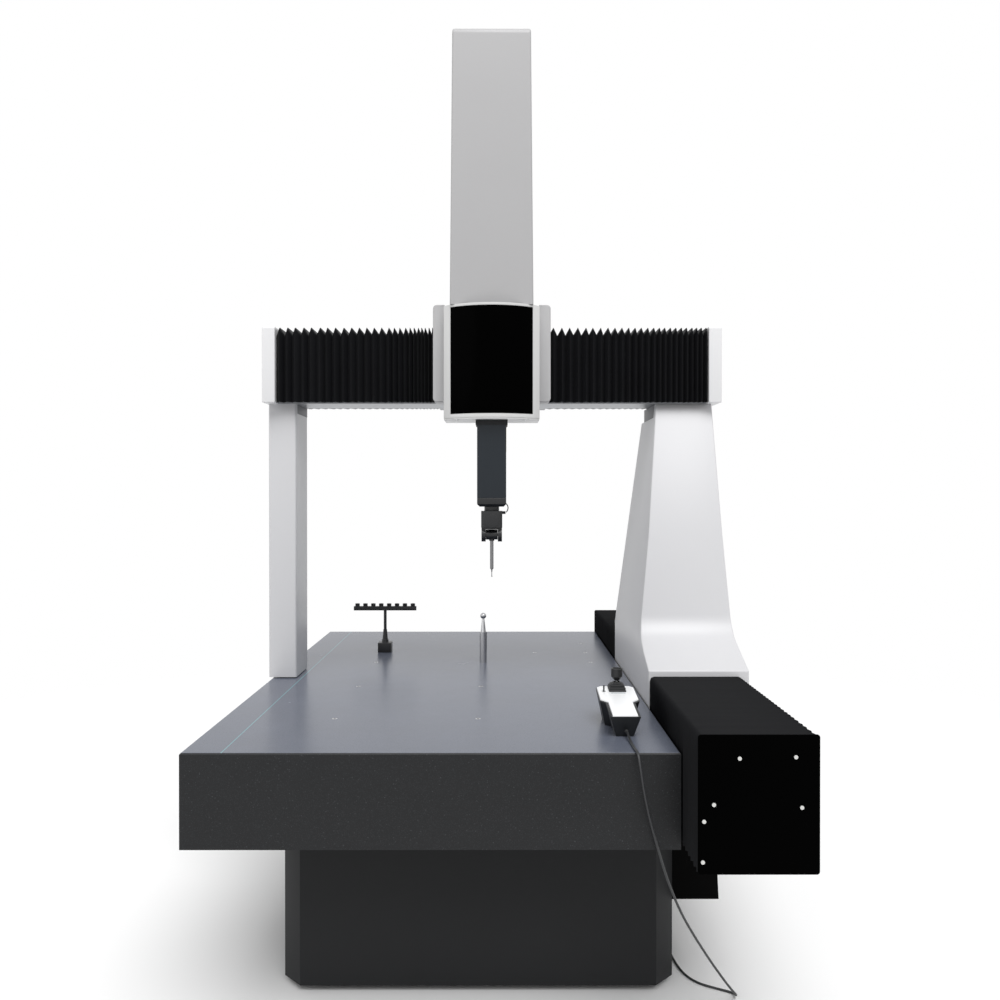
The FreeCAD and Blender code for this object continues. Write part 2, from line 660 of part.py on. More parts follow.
def air_bearing(face, towards, reach):
    """Round pad that floats off a face, with a stud to what carries it.

    face is a bound point on the guide, towards an axis with its sign, reach the bound
    distance from the face to the carrier."""
    sign, axis = towards
    step = "xyz".index(axis)

    def moved(distance):
        start = list(face)
        start[step] = f"{start[step]} {sign} ({distance})"
        return tuple(start)
    if sign == "+":
        disc = rod(moved("air_gap"), "bearing_radius", "bearing_thickness", axis)
        stud = rod(moved("air_gap + bearing_thickness - 1"), "bearing_stud_radius",
                   f"{reach} - air_gap - bearing_thickness + 1", axis)
    else:
        disc = rod(moved("air_gap + bearing_thickness"), "bearing_radius", "bearing_thickness",
                   axis)
        stud = rod(moved(reach), "bearing_stud_radius",
                   f"{reach} - air_gap - bearing_thickness + 1", axis)
    return fuse(disc, stud)


def make_bridge_bearings():
    """Air bearings of the bridge: under the left leg, and round the side guide."""
    bearings = [air_bearing(("left_leg_left + left_leg_width / 2",
                             "left_leg_front + left_leg_depth / 2", "table_height"), "+z",
                            "(leg_float + foot_bearing_recess)")]
    for station in ("guide_bearing_front", "guide_bearing_rear"):
        bearings.append(air_bearing(("guide_middle", station, "guide_top"), "+z",
                                    "(channel_top - guide_top)"))
        bearings.append(air_bearing(("guide_left", station, "guide_bearing_height"), "-x",
                                    "(guide_left - channel_left)"))
        bearings.append(air_bearing(("guide_right", station, "guide_bearing_height"), "+x",
                                    "(channel_right - guide_right)"))
    return node("bridge_air_bearings", group(*bearings))


def make_y_drive():
    """Drive unit in the foot of the right leg, its roller just above the guide."""
    housing = box(("guide_middle - drive_width / 2", "guide_middle + drive_width / 2"),
                  ("-drive_depth / 2", "drive_depth / 2"),
                  ("guide_top + 2 * drive_roller_radius", "channel_top + drive_height"))
    roller = rod(("guide_middle - drive_width / 4", "0",
                  "guide_top + air_gap + drive_roller_radius"),
                 "drive_roller_radius", "drive_width / 2", "x")
    return node("y_drive_unit", fuse(housing, roller))


def make_beam():
    """Hollow cross beam with its scale and end caps."""
    body = new_body("Beam")
    wall = n.beam_wall
    pad(body, "YZ_Plane", rectangle(n.beam_front, n.leg_top, n.beam_rear, n.beam_top),
        "-beam_half_length", "2 * beam_half_length")
    pocket(body, "YZ_Plane", rectangle(n.beam_front + wall, n.leg_top + wall, n.beam_rear - wall,
                                       n.beam_top - wall),
           "beam_half_length", "2 * beam_half_length")
    node("x_beam", body)
    middle = "(leg_top + beam_height / 2)"
    scale = box(("-beam_half_length", "beam_half_length"),
                ("beam_front - scale_thickness", "beam_front"),
                (f"{middle} - scale_width / 2", f"{middle} + scale_width / 2"))
    node("x_scale", scale)
    caps = []
    for side in (-1, 1):
        cap = new_body("EndCap")
        start = "beam_half_length" if side > 0 else "-beam_half_length - cap_thickness"
        pad(cap, "YZ_Plane", rectangle(n.x_cover_front - 2, n.leg_top, n.x_cover_rear + 2,
                                       n.x_cover_top + 2), start, "cap_thickness")
        round_edges(cap, "cap_corner", lambda edge: along(edge, "x")
                    and edge.CenterOfMass.z > n.beam_top)
        caps.append(cap)
    node("beam_end_caps", group(*caps))


def make_x_covers():
    """Pleated covers of the beam on both sides of the carriage."""
    def frame(across, up, station):
        return V3(station, across, up)
    section = (n.x_cover_front, n.x_cover_rear, n.x_cover_top, n.x_cover_bottom, frame)
    inner, outer = n.carriage_half_width, n.beam_half_length
    left = pleated(-outer, -inner, int(n.x_pleats), n.pleat_uneven, *section)
    right = pleated(inner, outer, int(n.x_pleats), n.pleat_uneven, *section)
    node("x_bellows_left", shaped(left))
    node("x_bellows_right", shaped(right))


# ---------------------------------------------------------------- carriage and tower

def make_frame():
    """Plates in front of, over and behind the beam, with two collars round the ram."""
    plate = n.frame_plate
    front, rear = n.frame_front, n.frame_rear
    top, low = n.frame_top, n.frame_bottom
    body = new_body("CarriageFrame")
    outline = closed([V3(front, low), V3(front + plate, low), V3(front + plate, top - plate),
                      V3(rear - plate, top - plate), V3(rear - plate, n.wing_bottom_rear),
                      V3(rear, n.wing_bottom_rear), V3(rear, top), V3(front, top)])
    pad(body, "YZ_Plane", outline, "-wing_inner", "2 * wing_inner")
    room = n.ram_half + n.ram_room
    collar = closed([V3(-n.collar_half_width, front + 1), V3(-n.collar_half_width, n.collar_front),
                     V3(n.collar_half_width, n.collar_front), V3(n.collar_half_width, front + 1),
                     V3(room, front + 1), V3(room, n.ram_front - n.ram_room),
                     V3(-room, n.ram_front - n.ram_room), V3(-room, front + 1)])
    pad(body, "XY_Plane", collar, "frame_bottom + collar_lift", "collar_height")
    pad(body, "XY_Plane", collar, "frame_top - collar_height", "collar_height")
    return node("carriage_frame", body)


def make_carriage_bearings():
    """Air bearings against the beam's front, top and back, and pads that guide the ram."""
    bearings = []
    for side in ("-", "+"):
        across = f"{side}bearing_spread"
        for height in ("leg_top + bearing_radius + bearing_margin",
                       "beam_top - bearing_radius - bearing_margin"):
            bearings.append(air_bearing((across, "beam_front", height), "-y",
                                        "(beam_front - frame_front - frame_plate)"))
        bearings.append(air_bearing((across, "beam_rear", "leg_top + beam_height / 2"), "+y",
                                    "(frame_rear - frame_plate - beam_rear)"))
        bearings.append(air_bearing((across, "beam_front + beam_depth / 2", "beam_top"), "+z",
                                    "(frame_top - frame_plate - beam_top)"))
    for collar_low in ("frame_bottom + collar_lift", "frame_top - collar_height"):
        height = (f"{collar_low} + ram_pad_margin",
                  f"{collar_low} + collar_height - ram_pad_margin")
        bearings.append(box(("-ram_half * 0.8", "ram_half * 0.8"),
                            ("ram_front - ram_room", "ram_front - air_gap"), height))
        bearings.append(box(("-ram_half - ram_room", "-ram_half - air_gap"),
                            ("ram_front + ram_wall", "ram_rear - ram_wall"), height))
        bearings.append(box(("ram_half + air_gap", "ram_half + ram_room"),
                            ("ram_front + ram_wall", "ram_y - scale_width"), height))
        bearings.append(box(("-ram_half * 0.8", "ram_half * 0.8"),
                            ("ram_rear + air_gap", "frame_front"), height))
    return node("carriage_air_bearings", group(*bearings))


def make_x_drive():
    """Drive unit of the carriage, hung over the beam, its roller just above the beam's top."""
    middle = "(beam_front + beam_depth / 2)"
    housing = box(("-x_drive_half_width", "x_drive_half_width"),
                  (f"{middle} - x_drive_depth / 2", f"{middle} + x_drive_depth / 2"),
                  ("beam_top + 2 * drive_roller_radius", "frame_top - frame_plate"))
    roller = rod(("0", f"{middle} - x_drive_depth / 4", "beam_top + air_gap + drive_roller_radius"),
                 "drive_roller_radius", "x_drive_depth / 2", "y")
    return node("x_drive_unit", fuse(housing, roller))


def make_wings():
    """Side covers of the carriage, saddles over the beam that end the pleated covers."""
    gap = n.wing_clearance
    outline = closed([V3(n.wing_front, n.wing_bottom_front),
                      V3(n.beam_front - gap, n.wing_bottom_front),
                      V3(n.beam_front - gap, n.beam_top + gap),
                      V3(n.beam_rear + gap, n.beam_top + gap),
                      V3(n.beam_rear + gap, n.wing_bottom_rear),
                      V3(n.wing_rear, n.wing_bottom_rear), V3(n.wing_rear, n.wing_top),
                      V3(n.wing_front, n.wing_top)])
    wings = []
    for start, outside in (("-carriage_half_width", -n.carriage_half_width),
                           ("wing_inner", n.carriage_half_width)):
        body = new_body("Wing")
        pad(body, "YZ_Plane", outline, start, "wing_thickness")
        round_edges(body, "wing_corner", lambda edge: along(edge, "y")
                    and near(edge.CenterOfMass.x, outside)
                    and (near(edge.CenterOfMass.z, n.wing_bottom_front)
                         or near(edge.CenterOfMass.z, n.wing_top)))
        wings.append(body)
    return node("carriage_side_covers", group(*wings))


def bulge(half_width, crest, depth, back):
    """Plan outline with a bowed front: back corners, sides and one arc."""
    return [Part.LineSegment(V3(-half_width, crest + depth), V3(-half_width, back)),
            Part.LineSegment(V3(-half_width, back), V3(half_width, back)),
            Part.LineSegment(V3(half_width, back), V3(half_width, crest + depth)),
            Part.Arc(V3(half_width, crest + depth), V3(0, crest), V3(-half_width, crest + depth))]


def bow_drop(half_width):
    """How far the bowed front falls back from its crest at a distance from the middle."""
    radius = (n.wing_inner ** 2 + n.front_bulge ** 2) / (2 * n.front_bulge)
    return radius - math.sqrt(radius ** 2 - half_width ** 2)


def make_front_cover():
    """Bowed front cover of the carriage, open behind, and the gloss panel let into it."""
    wall = n.front_wall
    body = new_body("FrontCover")
    pad(body, "XY_Plane", bulge(n.wing_inner, n.bow_front, n.front_bulge, n.front_back),
        "front_bottom", "frame_top - front_bottom")
    inside = bulge(n.wing_inner - wall, n.bow_front + wall, n.front_bulge,
                   n.front_back + 1)
    pocket(body, "XY_Plane", inside, "frame_top", "frame_top - front_bottom")
    seat = n.bow_front + n.panel_thickness - n.panel_proud
    half = n.panel_half_width
    edge = seat + bow_drop(half)
    ahead = n.bow_front - n.front_wall
    recess = [Part.Arc(V3(half, edge), V3(0, seat), V3(-half, edge)),
              Part.LineSegment(V3(-half, edge), V3(-half, ahead)),
              Part.LineSegment(V3(-half, ahead), V3(half, ahead)),
              Part.LineSegment(V3(half, ahead), V3(half, edge))]
    pocket(body, "XY_Plane", recess, "panel_top", "panel_top - panel_bottom")
    node("carriage_front_cover", body)
    make_front_panel(seat)


def make_front_panel(seat):
    """Bowed gloss panel of even thickness."""
    half = n.panel_half_width - n.panel_gap
    drop = bow_drop(half)
    face = seat - n.panel_thickness
    outline = [Part.Arc(V3(half, seat + drop), V3(0, seat), V3(-half, seat + drop)),
               Part.LineSegment(V3(-half, seat + drop), V3(-half, face + drop)),
               Part.Arc(V3(-half, face + drop), V3(0, face), V3(half, face + drop)),
               Part.LineSegment(V3(half, face + drop), V3(half, seat + drop))]
    body = new_body("FrontPanel")
    pad(body, "XY_Plane", outline, "panel_bottom + panel_gap",
        "panel_top - panel_bottom - 2 * panel_gap")
    return node("carriage_front_panel", body)


def make_bottom_plate():
    """Plate under the carriage with the way out for the ram, and the ram's wiper."""
    body = new_body("BottomPlate")
    pad(body, "XY_Plane", bulge(n.wing_inner - 1, n.bow_front + 1, n.front_bulge,
                                n.bottom_plate_rear),
        "bottom_plate_low", "bottom_plate_thickness")
    room = n.ram_half + n.wiper_gap
    pocket(body, "XY_Plane", rectangle(-room, n.ram_front - n.wiper_gap, room,
                                       n.ram_rear + n.wiper_gap),
           "front_bottom", "bottom_plate_thickness")
    node("carriage_bottom_plate", body)
    gap, wall = "wiper_gap", "wiper_wall"
    height = ("bottom_plate_low - wiper_height", "bottom_plate_low")
    outer = box((f"-ram_half - {gap} - {wall}", f"ram_half + {gap} + {wall}"),
                (f"ram_front - {gap} - {wall}", f"ram_rear + {gap} + {wall}"), height)
    inner = box((f"-ram_half - {gap}", f"ram_half + {gap}"),
                (f"ram_front - {gap}", f"ram_rear + {gap}"), height)
    return node("ram_wiper", cut(outer, inner))


def make_rear_cover():
    """Cover behind the carriage between its side covers."""
    wall = "rear_cover_wall"
    across = ("-wing_inner", "wing_inner")
    outer = box(across, ("frame_rear", "frame_rear + rear_cover_depth"),
                ("wing_bottom_rear", "wing_top"))
    inner = box((f"-wing_inner + {wall}", f"wing_inner - {wall}"),
                ("frame_rear", f"frame_rear + rear_cover_depth - {wall}"),
                (f"wing_bottom_rear + {wall}", f"wing_top - {wall}"))
    return node("carriage_rear_cover", cut(outer, inner))


def tower_outline(wall, top):
    """Front outline of the tower: slightly narrower at its top."""
    low, high = n.tower_half_width - wall, n.tower_top_half_width - wall
    return closed([V3(-low, n.frame_top), V3(low, n.frame_top), V3(high, top), V3(-high, top)])


def make_tower():
    """Tall tapered cover over the ram, open below, its upper front edge rounded."""
    body = new_body("TowerCover")
    pad(body, "XZ_Plane", tower_outline(0, n.tower_top), "-tower_rear", "tower_rear - tower_front")
    round_edges(body, "tower_top_radius", lambda edge: along(edge, "x")
                and near(edge.CenterOfMass.z, n.tower_top)
                and near(edge.CenterOfMass.y, n.tower_front))
    round_edges(body, "tower_edge_radius", lambda edge: not along(edge, "x")
                and not along(edge, "y") and edge.Length > 2 * n.tower_half_width)
    pocket(body, "XZ_Plane", tower_outline(n.tower_wall, n.tower_top - n.tower_top_radius),
           "-(tower_front + tower_wall)", "tower_rear - tower_front - 2 * tower_wall")
    return node("tower_cover", body)


def make_counterbalance():
    """Fixed piston rod hung in the tower; its piston fills the bore of the ram."""
    low = "piston_height_above_floor"
    ceiling = "(tower_top - tower_top_radius)"
    piston = rod(("0", "ram_y", low), "piston_radius", "piston_height")
    stem = rod(("0", "ram_y", f"{low} + 1"), "rod_radius", f"{ceiling} - {low} - 1")
    flange = rod(("0", "ram_y", f"{ceiling} - rod_flange_thickness"), "rod_flange_radius",
                 "rod_flange_thickness")
    return node("counterbalance_rod", fuse(piston, stem, flange))


def make_z_drive():
    """Drive unit of the ram on top of the carriage, its roller just behind the ram."""
    housing = box(("-z_drive_half_width", "z_drive_half_width"),
                  ("ram_rear + 2 * z_roller_radius", "z_drive_rear"),
                  ("frame_top", "frame_top + z_drive_height"))
    roller = rod(("-z_drive_half_width / 2", "ram_rear + air_gap + z_roller_radius",
                  "frame_top + z_drive_height / 2"), "z_roller_radius", "z_drive_half_width", "x")
    motor = rod(("0", "(ram_rear + z_drive_rear) / 2 + 4", "frame_top + z_drive_height - 1"),
                "z_drive_half_width * 0.7", "z_drive_height")
    return node("z_drive_unit", fuse(housing, roller, motor))


# ---------------------------------------------------------------- ram, head and probe

def make_ram():
    """Square hollow ram with its lid, gland, scale and end cap."""
    body = new_body("Ram")
    pad(body, "XY_Plane", rectangle(-n.ram_half, n.ram_front, n.ram_half, n.ram_rear),
        "ram_bottom", "ram_top - ram_bottom")
    wall = n.ram_wall
    pocket(body, "XY_Plane", rectangle(-n.ram_half + wall, n.ram_front + wall,
                                       n.ram_half - wall, n.ram_rear - wall),
           "ram_top", "ram_top - ram_bottom")
    node("z_ram", body)
    lid = box(("-ram_half", "ram_half"), ("ram_front", "ram_rear"),
              ("ram_top", "ram_top + ram_lid_height"))
    gland = rod(("0", "ram_y", "ram_top"), "rod_radius + rod_clearance", "ram_lid_height")
    node("ram_top_gland", cut(lid, gland))
    scale = box(("ram_half", "ram_half + scale_thickness"),
                ("ram_y - scale_width / 2", "ram_y + scale_width / 2"),
                ("z_scale_bottom", "ram_top"))
    node("z_scale", scale)
    make_ram_cap()


def make_ram_cap():
    """End cap with bevelled lower edges, and the round neck that carries the head."""
    body = new_body("RamCap")
    pad(body, "XY_Plane", rectangle(-n.ram_half, n.ram_front, n.ram_half, n.ram_rear),
        "ram_foot", "ram_cap_height")
    bevel_edges(body, "ram_cap_chamfer", lambda edge: near(edge.CenterOfMass.z, n.ram_foot))
    pad(body, "XY_Plane", [circle(0, n.ram_y, n.neck_radius)], "head_top", "neck_height + 1")
    return node("ram_end_cap", body)


def make_head():
    """Fixed upper half of the motorised head: bevelled block with a round dial in front."""
    half = n.head_width / 2
    body = new_body("HeadBody")
    pad(body, "XY_Plane", octagon(-half, n.ram_y - n.head_depth / 2, half,
                                  n.ram_y + n.head_depth / 2, n.head_chamfer),
        "head_bottom", "head_height")
    middle = n.head_bottom + n.dial_radius + n.dial_lift
    pad(body, "XZ_Plane", [circle(0, middle, n.dial_radius)],
        "-(ram_y - head_depth / 2 + 1)", "dial_thickness + 1")
    return node("head_body", body)


def make_head_cable():
    """Short lead held between the ram's end cap and a plug on the side of the head."""
    start = V3(n.ram_half - n.head_cable_radius, n.ram_y, n.ram_foot + n.head_cable_height)
    end = V3(n.head_width / 2 + n.head_plug_length, n.ram_y, start.z - n.head_cable_drop)
    middle = V3(n.ram_half + n.head_cable_reach, n.ram_y, (start.z + end.z) / 2)
    arc = Part.Arc(start, middle, end)
    tangent = arc.tangent(arc.FirstParameter)[0]
    section = Part.Wire([Part.Circle(start, tangent, n.head_cable_radius).toShape()])
    lead = Part.Wire([arc.toShape()]).makePipeShell([section], True, False)
    cap_side = Part.makeBox(n.ram_size, n.ram_size, n.ram_cap_height + n.head_height,
                            V3(n.ram_half - n.ram_size, n.ram_front, n.head_bottom))
    lead = lead.cut(cap_side)
    size = n.head_plug_size
    plug = Part.makeBox(n.head_plug_length, size, size,
                        V3(n.head_width / 2, n.ram_y - size / 2, end.z - size / 2))
    return node("head_cable", shaped(lead.fuse(plug).removeSplitter()))


def make_rotor():
    """Turning lower half of the head: a disc with two domed cheeks that hold the knuckle."""
    top = "head_bottom - rotor_gap"
    disc = rod(("0", "ram_y", f"{top} - rotor_height"), "rotor_radius", "rotor_height")
    parts = [disc]
    for inner, outer in (("-cheek_outer", "-cheek_inner"), ("cheek_inner", "cheek_outer")):
        boss = rod((inner, "ram_y", "tilt_height"), "cheek_radius", "cheek_outer - cheek_inner",
                   "x")
        web = box((inner, outer), ("ram_y - cheek_radius * 0.8", "ram_y + cheek_radius * 0.8"),
                  ("tilt_height", f"{top} - 1"))
        parts += [boss, web]
    bore = rod(("-cheek_outer - 1", "ram_y", "tilt_height"), "hinge_pin_radius + pin_clearance",
               "2 * cheek_outer + 2", "x")
    return node("head_rotor", cut(fuse(*parts), bore))


def make_knuckle():
    """Tilting knuckle with its hinge pin and the probe's socket."""
    drum = rod(("-cheek_inner + knuckle_gap", "ram_y", "tilt_height"), "knuckle_radius",
               "2 * (cheek_inner - knuckle_gap)", "x")
    pin = rod(("-cheek_outer", "ram_y", "tilt_height"), "hinge_pin_radius", "2 * cheek_outer", "x")
    socket = rod(("0", "ram_y", "probe_top - probe_seat_depth + 1"), "probe_socket_radius",
                 "knuckle_radius")
    bore = rod(("0", "ram_y", "probe_top - probe_seat_depth"), "probe_radius",
               "probe_seat_depth")
    return node("head_knuckle", cut(fuse(drum, pin, socket), bore))


def make_probe():
    """Straight probe body and the stylus screwed into it."""
    shank = rod(("0", "ram_y", "probe_bottom + 1"), "probe_radius", "probe_length - 1")
    nose = cone(("0", "ram_y", "probe_bottom - probe_nose"), "stylus_holder_radius",
                "probe_radius", "probe_nose + 1")
    node("probe_body", fuse(shank, nose))
    holder = rod(("0", "ram_y", "probe_bottom - probe_nose - stylus_holder_length"),
                 "stylus_holder_radius * 0.75", "stylus_holder_length")
    tip = "(probe_bottom - stylus_length + stylus_ball_radius)"
    stem = rod(("0", "ram_y", tip), "stylus_stem_radius",
               f"probe_bottom - probe_nose - stylus_holder_length / 2 - {tip}")
    node("stylus", fuse(holder, stem, ball(("0", "ram_y", tip), "stylus_ball_radius")))


# ---------------------------------------------------------------- things on the table

def make_rack():
    """Stylus rack: base block, post in a collar, and a bar with open clips."""
    half = "rack_base_size / 2"
    block = box((f"rack_x - {half}", f"rack_x + {half}"), (f"rack_y - {half}", f"rack_y + {half}"),
                ("table_height", "table_height + rack_base_height"))
    ring = rod(("rack_x", "rack_y", "table_height + rack_base_height"), "rack_ring_radius",
               "rack_ring_height")
    node("stylus_rack_base", fuse(block, ring))
    low = "(table_height + rack_base_height + rack_ring_height)"
    socket = cone(("rack_x", "rack_y", low), "rack_socket_radius",
                  "rack_socket_top_radius", "rack_socket_height")
    post = rod(("rack_x", "rack_y", f"{low} + rack_socket_height - 1"), "rack_post_radius",
               "rack_post_height + 1")
    node("stylus_rack_post", fuse(socket, post))
    top = f"({low} + rack_socket_height + rack_post_height)"
    depth = "rack_bar_depth / 2"
    bar = box(("rack_x - rack_bar_length / 2", "rack_x + rack_bar_length / 2"),
              (f"rack_y - {depth}", f"rack_y + {depth}"), (top, f"{top} + rack_bar_height"))
    clips = make_rack_clips(f"({top} + rack_bar_height)")
    node("stylus_rack_bar", fuse(bar, *clips))


def make_rack_clips(floor):
    """Row of round clips for the rack's bar, each slotted towards the front."""
    clips = []
    count = int(n.rack_clips)
    for i in range(count):
        x = f"rack_x + {i - (count - 1) / 2} * rack_clip_pitch"
        disc = rod((x, "rack_y", floor), "rack_clip_radius", "rack_clip_height")
        slot = box((f"{x} - rack_clip_slot / 2", f"{x} + rack_clip_slot / 2"),
                   ("rack_y - rack_clip_radius - 1", "rack_y"),
                   (f"{floor} + rack_clip_floor", f"{floor} + rack_clip_height + 1"))
        bore = rod((x, "rack_y", f"{floor} + rack_clip_floor"), "rack_clip_slot / 2",
                   "rack_clip_height")
        clips.append(cut(disc, fuse(slot, bore)))
    return clips


def make_sphere():
    """Reference sphere on its conical stem and steel column."""
    at = ("sphere_x", "sphere_y")
    node("sphere_column", rod((*at, "table_height"), "column_radius", "column_height"))
    top = "(table_height + column_height)"
    stem = cone((*at, top), "stem_low_radius", "stem_high_radius", "stem_length")
    centre = f"{top} + stem_length + sphere_radius * 0.85"
    node("reference_sphere", fuse(stem, ball((*at, centre), "sphere_radius")))


# ---------------------------------------------------------------- hand pendant

def pendant_top(y, lift=0):
    """Height of the sloping upper face of the pendant's shell."""
    rise = (y - n.pendant_front) * n.pendant_slope
    return n.table_height + n.pendant_front_height + rise + lift


def tee(grip_half, head_half, inset, height):
    """T-shaped outline of the pendant, its height given by a function of y."""
    front = n.pendant_front + inset
    rear = n.pendant_rear - inset
    waist = n.pendant_rear - n.pendant_head_length + inset
    shoulder = waist + head_half - grip_half
    corner = n.pendant_corner
    half = [(grip_half, front), (grip_half, waist), (head_half, shoulder),
            (head_half, rear - corner), (head_half - corner, rear)]
    outline = [(n.pendant_x + x, y) for x, y in half]
    outline += [(n.pendant_x - x, y) for x, y in reversed(half)]
    points = [V3(x, y, height(y)) for x, y in outline]
    return Part.makePolygon(points + points[:1])


def make_pendant():
    """Tapered shell with the joystick's well, and the pale plate on its upper face."""
    foot = tee(n.pendant_foot_grip_half, n.pendant_foot_head_half, n.pendant_foot_inset,
               lambda y: n.table_height)
    rim = tee(n.pendant_grip_half, n.pendant_head_half, 0, pendant_top)
    shell = shaped(Part.makeLoft([foot, rim], True, True))
    well = rod(("joystick_x", "joystick_y", "joystick_deck - joystick_well_depth"),
               "joystick_hole_radius", "joystick_well_depth")
    slot = rod(("toggle_x", "toggle_y", "toggle_deck - toggle_depth"), "toggle_hole_radius",
               "toggle_depth")
    sockets = rod(("joystick_x - trunnion_reach - trunnion_gap", "joystick_y", "joystick_pivot"),
                  "trunnion_radius + pivot_clearance", "2 * (trunnion_reach + trunnion_gap)", "x")
    pin_seat = rod(("toggle_x - toggle_pin_reach - trunnion_gap", "toggle_y", "toggle_pivot"),
                   "toggle_pin_radius + pivot_clearance", "2 * (toggle_pin_reach + trunnion_gap)",
                   "x")
    node("pendant_shell", cut(shell, well, slot, sockets, pin_seat))
    low = tee(n.plate_grip_half, n.plate_head_half, n.plate_inset, pendant_top)
    high = tee(n.plate_grip_half - 1, n.plate_head_half - 1, n.plate_inset + 1,
               lambda y: pendant_top(y, n.plate_thickness))
    plate = shaped(Part.makeLoft([low, high], True, True))
    opening = rod(("joystick_x", "joystick_y", "joystick_deck - joystick_well_depth / 2"),
                  "joystick_hole_radius", "joystick_well_depth")
    hole = rod(("toggle_x", "toggle_y", "toggle_deck - toggle_depth / 2"), "toggle_hole_radius",
               "toggle_depth")
    node("pendant_top_plate", cut(plate, opening, hole))


def square_ring(half, height):
    """Square wire round the joystick's axis."""
    points = [V3(n.joystick_x + sx * half, n.joystick_y + sy * half, height(n.joystick_y + sy * half))
              for sx, sy in ((-1, -1), (1, -1), (1, 1), (-1, 1))]
    return Part.makePolygon(points + points[:1])


def make_joystick():
    """Rubber boot, gimbal ring, and the lever with its dished knob."""
    base, top, wall = n.boot_base_half, n.boot_top_half, n.boot_wall
    deck = n.joystick_deck

    def seat(y):
        return pendant_top(y, n.plate_thickness)

    def ridge(y):
        return seat(y) + n.boot_rim

    def crown(y):
        return deck + n.boot_height
    outer = Part.makeLoft([square_ring(base, seat), square_ring(base, ridge),
                           square_ring(top, crown)], True, True)
    inner = Part.makeLoft([square_ring(base - wall, lambda y: seat(y) - 1),
                           square_ring(base - wall, ridge),
                           square_ring(top - wall, lambda y: crown(y) + 1)], True, True)
    node("joystick_boot", shaped(outer.cut(inner)))
    make_gimbal()


def make_gimbal():
    """Gimbal ring on trunnions, the lever on its cross pin, and the dished twist knob."""
    at = ("joystick_x", "joystick_y")
    ring = rod((*at, "joystick_pivot - gimbal_height / 2"), "gimbal_radius", "gimbal_height")
    trunnions = rod(("joystick_x - trunnion_reach", "joystick_y", "joystick_pivot"),
                    "trunnion_radius", "2 * trunnion_reach", "x")
    eye = rod((*at, "joystick_pivot - gimbal_height"), "gimbal_bore", "2 * gimbal_height")
    pin_holes = rod(("joystick_x", "joystick_y - gimbal_radius - 1", "joystick_pivot"),
                    "cross_pin_radius + pivot_clearance", "2 * gimbal_radius + 2", "y")
    node("joystick_gimbal", cut(fuse(ring, trunnions), eye, pin_holes))
    lever = rod((*at, "joystick_pivot - lever_tail"), "lever_radius",
                "joystick_deck + knob_lift + lever_grip - joystick_pivot + lever_tail")
    cross = rod(("joystick_x", "joystick_y - gimbal_radius", "joystick_pivot"),
                "cross_pin_radius", "2 * gimbal_radius", "y")
    node("joystick_lever", fuse(lever, cross))
    low = "(joystick_deck + knob_lift)"
    flare = cone((*at, low), "knob_foot_radius", "knob_radius", "knob_height * 0.35")
    grip = rod((*at, f"{low} + knob_height * 0.35"), "knob_radius", "knob_height * 0.65")
    dish = rod((*at, f"{low} + knob_height - knob_dish"), "knob_radius - knob_rim",
               "knob_dish + 1")
    bore = rod((*at, f"{low} - 1"), "lever_radius + pivot_clearance",
               "lever_grip + lever_end_gap + 1")
    node("joystick_knob", cut(fuse(flare, grip), dish, bore))


def make_toggle():
    """Small toggle lever beside the joystick, on a ball and a cross pin in its bush."""
    at = ("toggle_x", "toggle_y")
    lever = cone((*at, "toggle_pivot"), "toggle_radius * 0.7", "toggle_radius",
                 "toggle_height + toggle_pivot_drop")
    tip = ball((*at, "toggle_deck + toggle_height"), "toggle_radius")
    socket = ball((*at, "toggle_pivot"), "toggle_hole_radius - air_gap")
    pin = rod(("toggle_x - toggle_pin_reach", "toggle_y", "toggle_pivot"), "toggle_pin_radius",
              "2 * toggle_pin_reach", "x")
    return node("pendant_toggle", fuse(lever, tip, socket, pin))


# ---------------------------------------------------------------- pendant cord

def cord_points():
    """Route of the pendant's cord: over the table's edge, down, a loop on the floor, and back
    beside the base to its socket."""
    start = V3(n.pendant_x + 4, n.pendant_front + n.pendant_foot_inset - n.gland_length,
               n.table_height + n.cord_exit_height)
    end = V3(n.base_right + n.socket_length + n.plug_length, n.plug_y, n.plug_height)
    leaving = start + V3(1, -36, -7)
    return [start, leaving, V3(394, -941, 854.5), V3(395, -983, 855.5), V3(397, -1025, 857),
            V3(402, -1043, 820), V3(410, -1046, 760), V3(425, -1042, 690), V3(446, -1030, 615),
            V3(470, -1008, 535), V3(500, -975, 455), V3(538, -930, 370), V3(584, -875, 285),
            V3(634, -815, 198), V3(683, -762, 118), V3(724, -722, 55), V3(755, -690, 12),
            V3(750, -655, 4), V3(700, -630, 4), V3(650, -600, 4), V3(618, -545, 4),
            V3(604, -460, 4), V3(600, -360, 4), V3(604, -255, 4), V3(612, -150, 4),
            V3(622, -45, 4), V3(634, 60, 4), V3(648, 165, 4), V3(664, 265, 4), V3(686, 360, 4),
            V3(710, 435, 8), V3(731, 495, 36), V3(728, 545, 78), V3(700, 572, 108), end]


